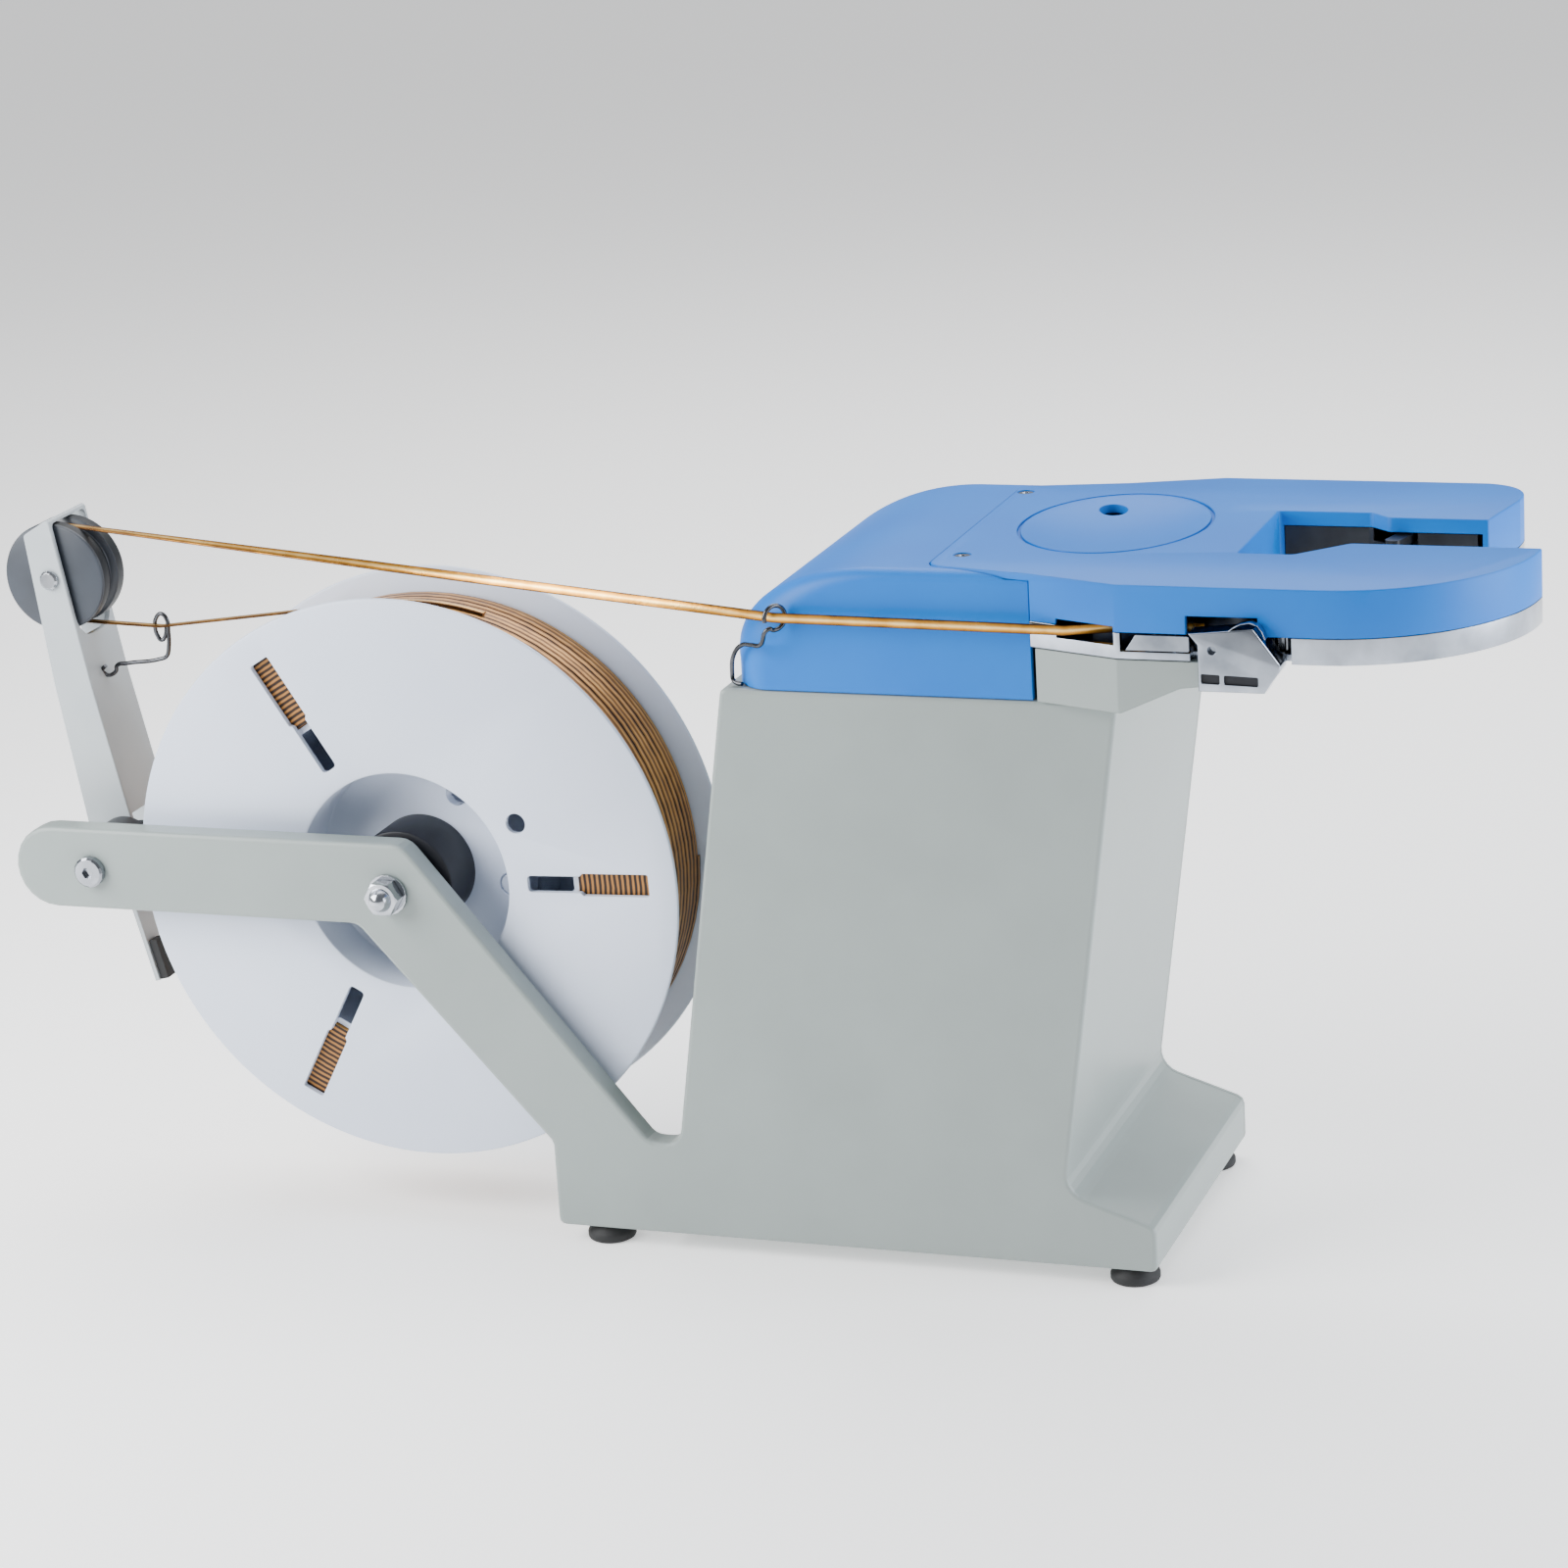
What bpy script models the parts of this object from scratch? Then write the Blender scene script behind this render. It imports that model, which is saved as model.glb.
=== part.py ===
"""A bench twist tie machine: a cast stand with a reel arm, a wire tension lever, and a forked tying head."""

import math

import bmesh
import bpy
from mathutils import Matrix, Vector

# Fits and wall overruns
GAP = 0.0003
OVERRUN = 0.002
SINK = 0.001
FINE = 0.00001

# Stand: x runs from the reel to the fork, y from the near side to the far side
WIDTH = 0.146
PLATE = 0.010
EDGE_ROUND = 0.0015
STAND_WALL = 0.005
SIDE_COVER = 0.003
FOOT_HEIGHT = 0.0072
FOOT_RADIUS = 0.010
FOOT_WAIST = 0.0075
FOOT_INSET = 0.010
REAR_FOOT_X = 0.0834
FRONT_FOOT_X = 0.3065
FAR_REAR_FOOT_X = 0.134
FOOT_PAD = 0.013
FOOT_PAD_HEIGHT = 0.012
BASE_REAR_X = 0.064
BASE_REAR_TOP = 0.0435
BASE_FRONT_X = 0.3182
TOE_TOP = 0.0265
TOE_ROUND = 0.004
COLUMN_TOE_X = 0.2819
COLUMN_TOE_Z = 0.0386
COLUMN_TOE_ROUND = 0.010
COLUMN_FRONT_X = 0.3106
COLUMN_REAR_X = 0.150
COLUMN_BASE_X = 0.1135
COLUMN_TOP = 0.240
CORNER_ROUND = 0.003
CROTCH_FRONT_X = 0.1196
CROTCH_REAR_X = 0.1064
CROTCH_Z = 0.0467
CROTCH_ROUND = 0.007
BEND_X = 0.0072
BEND_ROUND = 0.009
HEEL_X = -0.0156
HEEL_ROUND = 0.007
ARM_TOP = 0.1684
ARM_HEIGHT = 0.035
ARM_END_X = -0.171
ARM_END_ROUND = 0.0174

# Reel
REEL_Z = 0.1474
REEL_RADIUS = 0.120
REEL_NEAR_Y = 0.016
REEL_WIDTH = 0.0567
REEL_SIDES = 40
FLANGE = 0.0025
RECESS_RADIUS = 0.046
RECESS_DEPTH = 0.0215
WEB = 0.005
CORE_RADIUS = 0.076
WINDOW_INNER = 0.055
WINDOW_STEP = 0.078
WINDOW_OUTER = 0.108
WINDOW_NECK = 0.007
WINDOW_BODY = 0.0095
WEB_HOLE_RADIUS = 0.005
WEB_HOLE_PLACE = 0.034
FLANGE_HOLE_RADIUS = 0.00425
FLANGE_HOLE_PLACE = 0.0585
REEL_BORE = 0.0175
HUB_RADIUS = 0.0225
HUB_FRONT_Y = 0.0135
HUB_DISH_RADIUS = 0.014
HUB_DISH_DEPTH = 0.006
KNOB_LENGTH = 0.017
KNOB_WAIST = 0.0195
KNOB_FLUTES = 6
KNOB_FLUTE_RADIUS = 0.004
SHAFT_RADIUS = 0.006
SHAFT_THREAD = 0.004
NUT_ACROSS = 0.013
NUT_HEIGHT = 0.0065
NUT_CAP_RADIUS = 0.0042
NUT_CAP_HEIGHT = 0.0045
WASHER_RADIUS = 0.0085
WASHER = 0.0016

# Winding
WINDING_RADIUS = 0.110
STRAND_WIDTH = 0.004
STRAND = 0.0008
WINDING_TURNS = 10
LOOP_POINTS = 16

# Tension lever
LEVER_PIVOT_X = -0.1357
LEVER_PIVOT_Z = 0.1503
LEVER_NEAR_Y = 0.0352
LEVER_WIDTH = 0.0328
LEVER_SHEET = 0.002
LEVER_FOLD = 0.003
LEVER_TOP_X = -0.1708
LEVER_TOP_Z = 0.2845
LEVER_TOP_FRONT_X = -0.1585
LEVER_TOP_FRONT_Z = 0.2920
LEVER_SHOULDER_Z = 0.2195
LEVER_SHOULDER_REAR_X = -0.1635
LEVER_SHOULDER_FRONT_X = -0.1460
LEVER_WAIST_Z = 0.160
LEVER_WAIST_REAR_X = -0.1546
LEVER_WAIST_FRONT_X = -0.1335
LEVER_FOOT_Z = 0.1375
LEVER_FOOT_REAR_X = -0.1520
LEVER_FOOT_FRONT_X = -0.1318
LEVER_WEB_TOP_Z = 0.2400
LEVER_NOTCH_ROUND = 0.009
LEVER_HOOD_LIP = 0.0026
LEVER_HOOD = 0.0035
LEVER_WEB_FOOT_Z = 0.1640
LEVER_EAR_RADIUS = 0.0105
TONGUE_TIP_X = -0.1290
TONGUE_TIP_Z = 0.0895
TONGUE_ROOT_X = -0.1415
TONGUE_WIDTH = 0.017
TONGUE_TIP_WIDTH = 0.009
BRAKE_PAD = 0.0036
BRAKE_PAD_HEIGHT = 0.016
LEVER_BUSH_RADIUS = 0.0135
LEVER_BOLT_RADIUS = 0.004
BOLT_HEAD_RADIUS = 0.0066
BOLT_HEAD = 0.0035
BOLT_SOCKET_ACROSS = 0.0045
BOLT_SOCKET_DEPTH = 0.002
LEVER_SPRING_WIRE = 0.0009
LEVER_SPRING_RADIUS = 0.0105
LEVER_SPRING_CURLS = 3

# Lever pulley
PULLEY_X = -0.1605
PULLEY_Z = 0.2657
PULLEY_RADIUS = 0.0230
PULLEY_NEAR_Y = 0.0388
PULLEY_WIDTH = 0.0195
PULLEY_GROOVE = 0.0030
PULLEY_GROOVE_WIDTH = 0.0056
PULLEY_DISH = 0.0022
PULLEY_DISH_RADIUS = 0.0165
PULLEY_BOSS_RADIUS = 0.0055
PULLEY_AXLE_RADIUS = 0.002
PULLEY_SCREW_RADIUS = 0.0042
PULLEY_SCREW_HEAD = 0.0018

# Wire guides
GUIDE_WIRE = 0.0009
EYE_RADIUS = 0.0048
EYE_TURN = math.radians(318)
REAR_EYE_START = math.radians(-126)
REAR_EYE_FACING = math.radians(53)
LEVER_EYE_START = math.radians(-76)
LEVER_EYE_FACING = math.radians(63)
LEVER_GUIDE_Y = 0.0515
LEVER_GUIDE_Z = 0.2250
LEVER_GUIDE_REACH_X = -0.1190
LEVER_EYE_Z = 0.2427
REAR_GUIDE_X = 0.1560
REAR_GUIDE_Y = 0.0055
REAR_EYE_X = 0.1770
REAR_EYE_Y = -0.0056
REAR_EYE_Z = 0.2710
REAR_GUIDE_BEND_Z = 0.2590

# Tying head: the fork's plan
NECK_X = 0.278
NECK_STEP = 0.001
SHOULDER_X = 0.315
HEAD_OVERHANG = 0.0132
NOSE_CORNER_X = 0.4572
NOSE_X = 0.4623
NOSE_ROUND = 0.071
CHANNEL_NEAR_Y = 0.0575
CHANNEL_FAR_Y = 0.099
TAPER_NEAR_X = 0.389
TAPER_ROUND = 0.004
POCKET_END_X = 0.3495
POCKET_FRONT_X = 0.371
POCKET_NEAR_Y = 0.0385
POCKET_FAR_Y = 0.106
POCKET_FAR_X = 0.387
TAPER_FAR_X = 0.395
POCKET_ROUND = 0.0015
PRONG_TIP_X = 0.434
PRONG_BULGE_X = 0.440
PRONG_BULGE_Y = 0.132
PRONG_ROUND = 0.020
TIP_ROUND = 0.001

# Tying head: heights
HEAD_TOP = 0.2903
SKIRT_LOW = 0.2719
PLATE_TOP = 0.2716
PLATE_LOW = 0.2615
CHIN_TOP = 0.2612
COVER_WALL = 0.0025
COVER_EDGE = 0.0012
LIP_LOW = 0.2845
PLATE_FLOOR = 0.0025
PLATE_RIM = 0.003

# Chin casting under the head
CHIN_REAR_X = 0.280
CHIN_FRONT_X = 0.3486
CHIN_FLAT_X = 0.316
CHIN_LIP_X = 0.3393
CHIN_LIP_Z = 0.2508
CHIN_TIP_Z = 0.2519
CHIN_WALL = 0.005
CHIN_POCKET_X = 0.324
CHIN_EDGE = 0.0008

# Front cover
TONGUE_X = 0.235
TONGUE_STEP = 0.008
TONGUE_ROUND = 0.008
TONGUE_SHEET = 0.0028
TONGUE_GAP = 0.0004
DISH_X = 0.2905
DISH_Y = 0.080
DISH_REACH_X = 0.037
DISH_REACH_Y = 0.047
DISH_DEPTH = 0.005
DISH_HOLE_X = 0.283
DISH_HOLE_Y = 0.1044
DISH_HOLE_RADIUS = 0.0058
COVER_SCREW_RADIUS = 0.0032
COVER_SCREW_HEAD = 0.0012
NEAR_SCREW_X = 0.2445
NEAR_SCREW_Y = 0.0244
FAR_SCREW_X = 0.2397
FAR_SCREW_Y = 0.1271
ENTRY_REAR_X = 0.2895
ENTRY_FRONT_X = 0.3140
ENTRY_LOW = 0.2666
ENTRY_HIGH = 0.2740
BAY_REAR_X = 0.3165
BAY_FRONT_X = 0.3450
BAY_LOW = 0.2645
CLAMP_WINDOW_REAR_X = 0.3420
CLAMP_WINDOW_FRONT_X = 0.3695
CLAMP_WINDOW_HIGH = 0.2790

# Rear cover: its crown, its side panels and the round between them
REAR_COVER_X = 0.1525
CROWN_LOW = 0.2500
CROWN_REACH = 0.064
PANEL_X = 0.1700
PANEL_LOW = 0.2420
PANEL_REACH = 0.052
PANEL_TOP = 0.2862
SHOULDER_LOW = 0.026
SHOULDER_TOP = 0.0055
REAR_COVER_WALL = 0.003
REAR_COVER_STEPS = 8
SHOULDER_STEPS = 4

# Feed clamp
CLAMP_STAND = 0.005
CLAMP_DEPTH = 0.010
CLAMP_TOP_REAR_X = 0.3434
CLAMP_TOP_REAR_Z = 0.2738
CLAMP_NECK_X = 0.3472
CLAMP_NECK_Z = 0.2691
CLAMP_LOW_Z = 0.2510
CLAMP_LOW_X = 0.3728
CLAMP_TOE_X = 0.3751
CLAMP_TOE_Z = 0.2549
CLAMP_HEEL_X = 0.3800
CLAMP_HEEL_Z = 0.2614
CLAMP_TOP_X = 0.3691
CLAMP_TOP_Z = 0.2764
CLAMP_SLOT_LOW = 0.2552
CLAMP_SLOT_HIGH = 0.2574
CLAMP_SLOT_REAR_X = 0.3490
CLAMP_SLOT_MIDDLE_X = 0.3560
CLAMP_SLOT_FRONT_X = 0.3690
CLAMP_HOLE_X = 0.3535
CLAMP_HOLE_Z = 0.2672
CLAMP_HOLE_RADIUS = 0.0013

# Strand route
ENTRY_X = 0.2930
ENTRY_Z = 0.2700

# Slot liner and trigger
LINER = 0.0015
NEEDLE_WINDOW_LOW = 0.2725
NEEDLE_WINDOW_HIGH = 0.2820
TRIGGER_X = 0.4060
TRIGGER_Y = 0.1200
TRIGGER_POST = 0.003
TRIGGER_BOSS = 0.006
TRIGGER_REACH_X = 0.3975
TRIGGER_REACH_Y = 0.0890
TRIGGER_WIDTH = 0.006
TRIGGER_LOW = 0.2800
TRIGGER_HIGH = 0.2835
TRIGGER_SLOT = 0.0008

# Main shaft, twister and cam
TOOTH_ANGLE_SHARES = (0.20, 0.41, 0.59, 0.80)
TOOTH_HEIGHT_SHARES = (-1.2, 0.9, 0.9, -1.2)
MODULE = 0.001
SHAFT_Y = 0.073
SHAFT_Z = 0.2560
MAIN_SHAFT = 0.004
MAIN_SHAFT_REAR_X = 0.1740
MAIN_SHAFT_FRONT_X = 0.2660
DRIVE_TEETH = 26
TWISTER_TEETH = 14
GEAR_FACE = 0.006
DRIVE_GEAR_X = 0.2575
CAM_PINION_TEETH = 12
CAM_TEETH = 40
CAM_GEAR_X = 0.2120
CAM_SHAFT_Z = 0.2648
CAM_SHAFT = 0.003
CAM_SHAFT_REAR_X = 0.2020
CAM_SHAFT_FRONT_X = 0.3180
CAM_RADIUS = 0.0085
CAM_REAR_X = 0.2900
CAM_LENGTH = 0.0220
TWISTER_SHAFT = 0.003
TWISTER_REAR_X = 0.2530
TWISTER_FRONT_X = 0.3450
HOOK_WIRE = 0.0011
HOOK_REACH = 0.0085
HOOK_SPREAD = 0.0030
BLOCK_REAR_X = 0.1960
BLOCK_FRONT_X = 0.2440
BLOCK_LENGTH = 0.008
BLOCK_HALF = 0.013
BLOCK_ROUND = 0.008
BEARING_X = 0.3340
BEARING_LENGTH = 0.006
BEARING_HALF = 0.010

# Motor and belt
MOTOR_Z = 0.1950
MOTOR_RADIUS = 0.0270
MOTOR_REAR_X = 0.1920
MOTOR_LENGTH = 0.070
MOTOR_SHAFT = 0.0025
MOTOR_SHAFT_REAR_X = 0.1735
MOTOR_BOSS = 0.010
MOTOR_BOSS_LENGTH = 0.003
BELT_X = 0.1770
BELT_WIDTH = 0.006
BELT = 0.0016
MOTOR_PULLEY_RADIUS = 0.0085
MAIN_PULLEY_RADIUS = 0.0165
BELT_FLANGE = 0.0022
BELT_FLANGE_WIDTH = 0.001
BELT_OPENING_X = 0.1720
BELT_OPENING_LENGTH = 0.017
BELT_OPENING_HALF = 0.024
BRACKET = 0.003
BRACKET_HALF = 0.034
BRACKET_FOOT = 0.020

# Electrical pieces
BOARD_X = 0.1900
BOARD_Z = 0.0550
BOARD_LENGTH = 0.080
BOARD_HEIGHT = 0.070
BOARD = 0.0016
BOARD_STANDOFF = 0.006
BOARD_STANDOFF_RADIUS = 0.003
BOARD_PART_DEPTH = 0.014
BOARD_PART_SHARES = ((0.15, 0.2, 0.22), (0.45, 0.15, 0.3), (0.45, 0.6, 0.2))
INLET_X = 0.1750
INLET_Z = 0.0400
INLET_LENGTH = 0.0275
INLET_HEIGHT = 0.0200
INLET_DEPTH = 0.0160
INLET_FLANGE = 0.0020
INLET_FLANGE_GROW = 0.003
INLET_MOUTH_DEPTH = 0.010
INLET_WALL = 0.0025
SWITCH_X = 0.2450
SWITCH_LENGTH = 0.0210
SWITCH_HEIGHT = 0.0150
SWITCH_DEPTH = 0.0130
SWITCH_BEZEL = 0.0018
SWITCH_BEZEL_GROW = 0.0020
ROCKER_GAP = 0.0012
ROCKER_ANGLE = math.radians(11)
ROCKER_STAND = 0.0025

# Needle arm, its rack and the feed rollers
NEEDLE_X = 0.3750
NEEDLE_Y = 0.0080
NEEDLE_REACH = 0.0890
NEEDLE_REST = math.radians(28)
NEEDLE_LOW = 0.2750
NEEDLE_HIGH = 0.2790
NEEDLE_ROOT_WIDTH = 0.012
NEEDLE_TIP_WIDTH = 0.006
NEEDLE_HUB_TEETH = 24
NEEDLE_POST = 0.004
NEEDLE_HUB = 0.007
RACK_GEAR_LOW = 0.2646
RACK_GEAR_HIGH = 0.2700
RACK_REAR_X = 0.2960
RACK_FRONT_X = 0.3920
RACK_WIDTH = 0.005
RACK_FINGER = 0.0025
ROLLER_X = 0.3320
ROLLER_TEETH = 12
ROLLER_MODULE = 0.0012
ROLLER_NEAR_Y = -0.0036
ROLLER_GEAR_LOW = 0.2648
ROLLER_GEAR_HIGH = 0.2668
ROLLER_TOP = 0.2760
ROLLER_PIN = 0.0022
ROLLER_NECK = 0.0048


# Helpers

ARC_STEP = math.radians(15)
SMALL_ROUND = 0.006
SMOOTH_ANGLE = math.radians(32)
PLACES = {}


def clear_scene():
    for item in list(bpy.data.objects):
        bpy.data.objects.remove(item, do_unlink=True)


def material(name, colour, roughness, metallic=0.0):
    made = bpy.data.materials.new(name)
    made.use_nodes = True
    shader = made.node_tree.nodes["Principled BSDF"]
    channels = [int(colour[i : i + 2], 16) / 255 for i in (0, 2, 4)]
    linear = [c / 12.92 if c <= 0.04045 else ((c + 0.055) / 1.055) ** 2.4 for c in channels]
    shader.inputs["Base Color"].default_value = (*linear, 1.0)
    shader.inputs["Roughness"].default_value = roughness
    shader.inputs["Metallic"].default_value = metallic
    made.diffuse_color = (*linear, 1.0)
    return made


def pivot(name, at, carrier=None):
    """An empty on a joint's axis, or on the point that the root hangs from."""
    empty = bpy.data.objects.new(name, None)
    empty.empty_display_size = HUB_RADIUS
    bpy.context.collection.objects.link(empty)
    PLACES[name] = Vector(at)
    empty.location = PLACES[name]
    if carrier:
        empty.parent = carrier
        empty.location = PLACES[name] - PLACES[carrier.name]
    return empty


def finish(bm, name, carrier, paint=None, smooth=SMOOTH_ANGLE):
    """Closes a shape into an object whose origin is its carrier's."""
    bmesh.ops.recalc_face_normals(bm, faces=bm.faces)
    bmesh.ops.translate(bm, verts=bm.verts, vec=-PLACES[carrier.name])
    mesh = bpy.data.meshes.new(name)
    bm.to_mesh(mesh)
    bm.free()
    mesh.shade_smooth()
    mesh.set_sharp_from_angle(angle=smooth)
    made = bpy.data.objects.new(name, mesh)
    made.parent = carrier
    bpy.context.collection.objects.link(made)
    if paint:
        mesh.materials.append(paint)
    return made


def change(target, shapes, operation):
    """Cuts shapes from a piece, or joins them to it, with hidden helpers."""
    for shape in shapes:
        name = f"{target.name}_{operation.lower()}_{len(target.modifiers) + 1}"
        helper = shape if isinstance(shape, bpy.types.Object) else finish(shape, name, target.parent)
        helper.hide_render = True
        helper.display_type = "WIRE"
        step = target.modifiers.new(name, "BOOLEAN")
        step.operation = operation
        step.solver = "EXACT"
        step.object = helper
    return target


def cut(target, *shapes):
    return change(target, shapes, "DIFFERENCE")


def join(target, *shapes):
    return change(target, shapes, "UNION")


def rounded(corners):
    """The outline through corners (u, v, radius), each corner turned by an arc."""
    outline = []
    count = len(corners)
    for i, (u, v, radius) in enumerate(corners):
        here = Vector((u, v))
        before = Vector(corners[i - 1][:2]) - here
        after = Vector(corners[(i + 1) % count][:2]) - here
        turn = math.pi - before.angle(after)
        if not radius or turn < FINE:
            outline.append(here)
            continue
        reach = radius * math.tan(turn / 2)
        first = here + before.normalized() * reach
        middle = (before.normalized() + after.normalized()).normalized()
        centre = here + middle * (radius / math.cos(turn / 2))
        arm = first - centre
        side = 1 if before.x * after.y - before.y * after.x < 0 else -1
        step = ARC_STEP if radius > SMALL_ROUND else 2 * ARC_STEP
        pieces = max(1, round(turn / step))
        for k in range(pieces + 1):
            angle = side * turn * k / pieces
            cosine, sine = math.cos(angle), math.sin(angle)
            outline.append(centre + Vector((arm.x * cosine - arm.y * sine, arm.x * sine + arm.y * cosine)))
    return outline


def inset(corners, depth):
    """Corners (u, v, radius) moved inwards by depth; they run anticlockwise."""
    moved = []
    count = len(corners)
    for i, (u, v, radius) in enumerate(corners):
        here = Vector((u, v))
        before = here - Vector(corners[i - 1][:2])
        after = Vector(corners[(i + 1) % count][:2]) - here
        left = Vector((-before.y, before.x)).normalized()
        right = Vector((-after.y, after.x)).normalized()
        middle = (left + right).normalized()
        place = here + middle * (depth / middle.dot(left))
        inner = before.x * after.y - before.y * after.x > 0
        fillet = max(0, radius - depth) if inner else radius + depth if radius else 0
        moved.append((place.x, place.y, max(0, fillet)))
    return moved


def point_on(axis, u, v, along):
    return {"X": (along, u, v), "Y": (u, along, v), "Z": (u, v, along)}[axis]


def prism(outline, axis, low, high):
    """An outline in the plane square to an axis, extruded from low to high."""
    bm = bmesh.new()
    ring = [bm.verts.new(point_on(axis, p[0], p[1], low)) for p in outline]
    face = bm.faces.new(ring)
    made = bmesh.ops.extrude_face_region(bm, geom=[face])
    top = [item for item in made["geom"] if isinstance(item, bmesh.types.BMVert)]
    shift = Vector(point_on(axis, 0, 0, high - low))
    bmesh.ops.translate(bm, verts=top, vec=shift)
    bmesh.ops.recalc_face_normals(bm, faces=bm.faces)
    return bm


def soften(bm, width, chosen=None, segments=2, sharp=math.radians(40)):
    """Bevels the sharp edges of a shape, or those that chosen picks by their middle."""
    edges = []
    for edge in bm.edges:
        if len(edge.link_faces) != 2 or edge.calc_face_angle(0) < sharp:
            continue
        middle = (edge.verts[0].co + edge.verts[1].co) / 2
        if chosen is None or chosen(middle, edge):
            edges.append(edge)
    bmesh.ops.bevel(
        bm,
        geom=edges,
        offset=width,
        segments=segments,
        profile=0.5,
        affect="EDGES",
        clamp_overlap=True,
        material=-1,
    )
    return bm


def box(low, high):
    bm = bmesh.new()
    bmesh.ops.create_cube(bm, size=1)
    size = Vector(high) - Vector(low)
    bmesh.ops.scale(bm, vec=size, verts=bm.verts)
    bmesh.ops.translate(bm, verts=bm.verts, vec=(Vector(high) + Vector(low)) / 2)
    return bm


def circle(u, v, radius, count=24, turn=0):
    return [
        (
            u + radius * math.cos(turn + math.tau * k / count),
            v + radius * math.sin(turn + math.tau * k / count),
        )
        for k in range(count)
    ]


def rod(axis, u, v, radius, low, high, count=16):
    return prism(circle(u, v, radius, count), axis, low, high)


def turned(profile, axis, centre, count=48):
    """Spins a closed profile of (radius, along) points round an axis through centre."""
    bm = bmesh.new()
    u0, v0 = centre
    ring = [bm.verts.new(point_on(axis, u0 + r, v0, a)) for r, a in profile]
    edges = [bm.edges.new((ring[i - 1], ring[i])) for i in range(len(ring))]
    bmesh.ops.spin(
        bm,
        geom=ring + edges,
        cent=point_on(axis, u0, v0, 0),
        axis=point_on(axis, 0, 0, 1),
        angle=math.tau,
        steps=count,
        use_merge=True,
        use_duplicate=False,
    )
    bmesh.ops.remove_doubles(bm, verts=bm.verts, dist=FINE / 10)
    bmesh.ops.recalc_face_normals(bm, faces=bm.faces)
    return bm


def merge(*shapes):
    """Puts shapes that don't touch into one bmesh, so that one cut makes them all."""
    whole = shapes[0]
    for other in shapes[1:]:
        copies = {vert: whole.verts.new(vert.co) for vert in other.verts}
        for face in other.faces:
            whole.faces.new([copies[vert] for vert in face.verts])
        other.free()
    return whole


def tube(points, radius, name, carrier, paint, sides=2, closed=False):
    """A wire along points, with filled ends."""
    curve = bpy.data.curves.new(name, "CURVE")
    curve.dimensions = "3D"
    curve.bevel_depth = radius
    curve.bevel_resolution = sides
    curve.use_fill_caps = True
    line = curve.splines.new("POLY")
    line.points.add(len(points) - 1)
    for place, point in zip(line.points, points):
        place.co = (*(Vector(point) - PLACES[carrier.name]), 1)
    line.use_cyclic_u = closed
    curve.materials.append(paint)
    made = bpy.data.objects.new(name, curve)
    made.parent = carrier
    bpy.context.collection.objects.link(made)
    return made


def smooth_path(points, pieces):
    """A smooth line through the given points, each span cut into pieces."""
    places = [Vector(p) for p in points]
    places = [2 * places[0] - places[1], *places, 2 * places[-1] - places[-2]]
    line = []
    for i in range(1, len(places) - 2):
        a, b, c, d = places[i - 1 : i + 3]
        for k in range(pieces):
            t = k / pieces
            line.append(
                (2 * b + (c - a) * t + (2 * a - 5 * b + 4 * c - d) * t**2 + (3 * b - a - 3 * c + d) * t**3) / 2
            )
    line.append(places[-2])
    return line


def sweep(rings):
    """A closed skin through rings of equal count, capped at both ends."""
    bm = bmesh.new()
    loops = []
    for ring in rings:
        verts = [bm.verts.new(p) for p in ring]
        loops.append([bm.edges.new((verts[i - 1], verts[i])) for i in range(len(verts))])
    for one, two in zip(loops, loops[1:]):
        bmesh.ops.bridge_loops(bm, edges=one + two)
    for end in (loops[0], loops[-1]):
        bmesh.ops.edgeloop_fill(bm, edges=end)
    bmesh.ops.recalc_face_normals(bm, faces=bm.faces)
    return bm


def ribbon(points, widths, thick):
    """A flat strip along points; widths gives each point's sideways direction and size."""
    rings = []
    for i, (here, side) in enumerate(zip(points, widths)):
        ahead = points[min(i + 1, len(points) - 1)] - points[max(i - 1, 0)]
        up = ahead.cross(side).normalized() * (thick / 2)
        half = side / 2
        rings.append([here + half + up, here - half + up, here - half - up, here + half - up])
    return sweep(rings)


def gear(axis, centre, teeth, module, low, high, turn=0.0):
    """A spur gear whose flanks are straight lines between named heights."""
    pitch = module * teeth / 2
    outline = []
    for k in range(teeth):
        for share, height in zip(TOOTH_ANGLE_SHARES, TOOTH_HEIGHT_SHARES):
            angle = turn + math.tau * (k + share) / teeth
            radius = pitch + module * height
            outline.append((centre[0] + radius * math.cos(angle), centre[1] + radius * math.sin(angle)))
    return prism(outline, axis, low, high)


# Outlines shared by several pieces

CENTRE_X = (PULLEY_X - PULLEY_RADIUS + NOSE_X) / 2
CENTRE_Y = (WIDTH - CLAMP_STAND) / 2
ARM_LOW = ARM_TOP - ARM_HEIGHT
COLUMN_LEAN = (COLUMN_REAR_X - CROTCH_FRONT_X) / (COLUMN_TOP - CROTCH_Z)
COLUMN_BASE_X = CROTCH_FRONT_X - COLUMN_LEAN * (CROTCH_Z - FOOT_HEIGHT)
HEAD_NEAR_Y = -HEAD_OVERHANG
HEAD_FAR_Y = WIDTH + HEAD_OVERHANG
REEL_FAR_Y = REEL_NEAR_Y + REEL_WIDTH
REEL_MIDDLE_Y = REEL_NEAR_Y + REEL_WIDTH / 2
PULLEY_MIDDLE_Y = PULLEY_NEAR_Y + PULLEY_WIDTH / 2
LEVER_FAR_Y = LEVER_NEAR_Y + LEVER_WIDTH
CAM_CENTRES = MODULE * (CAM_PINION_TEETH + CAM_TEETH) / 2
CAM_SHAFT_Y = SHAFT_Y - math.sqrt(CAM_CENTRES**2 - (CAM_SHAFT_Z - SHAFT_Z) ** 2)
TWISTER_Z = SHAFT_Z + MODULE * (DRIVE_TEETH + TWISTER_TEETH) / 2
ROLLER_PITCH = ROLLER_MODULE * ROLLER_TEETH / 2
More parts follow.
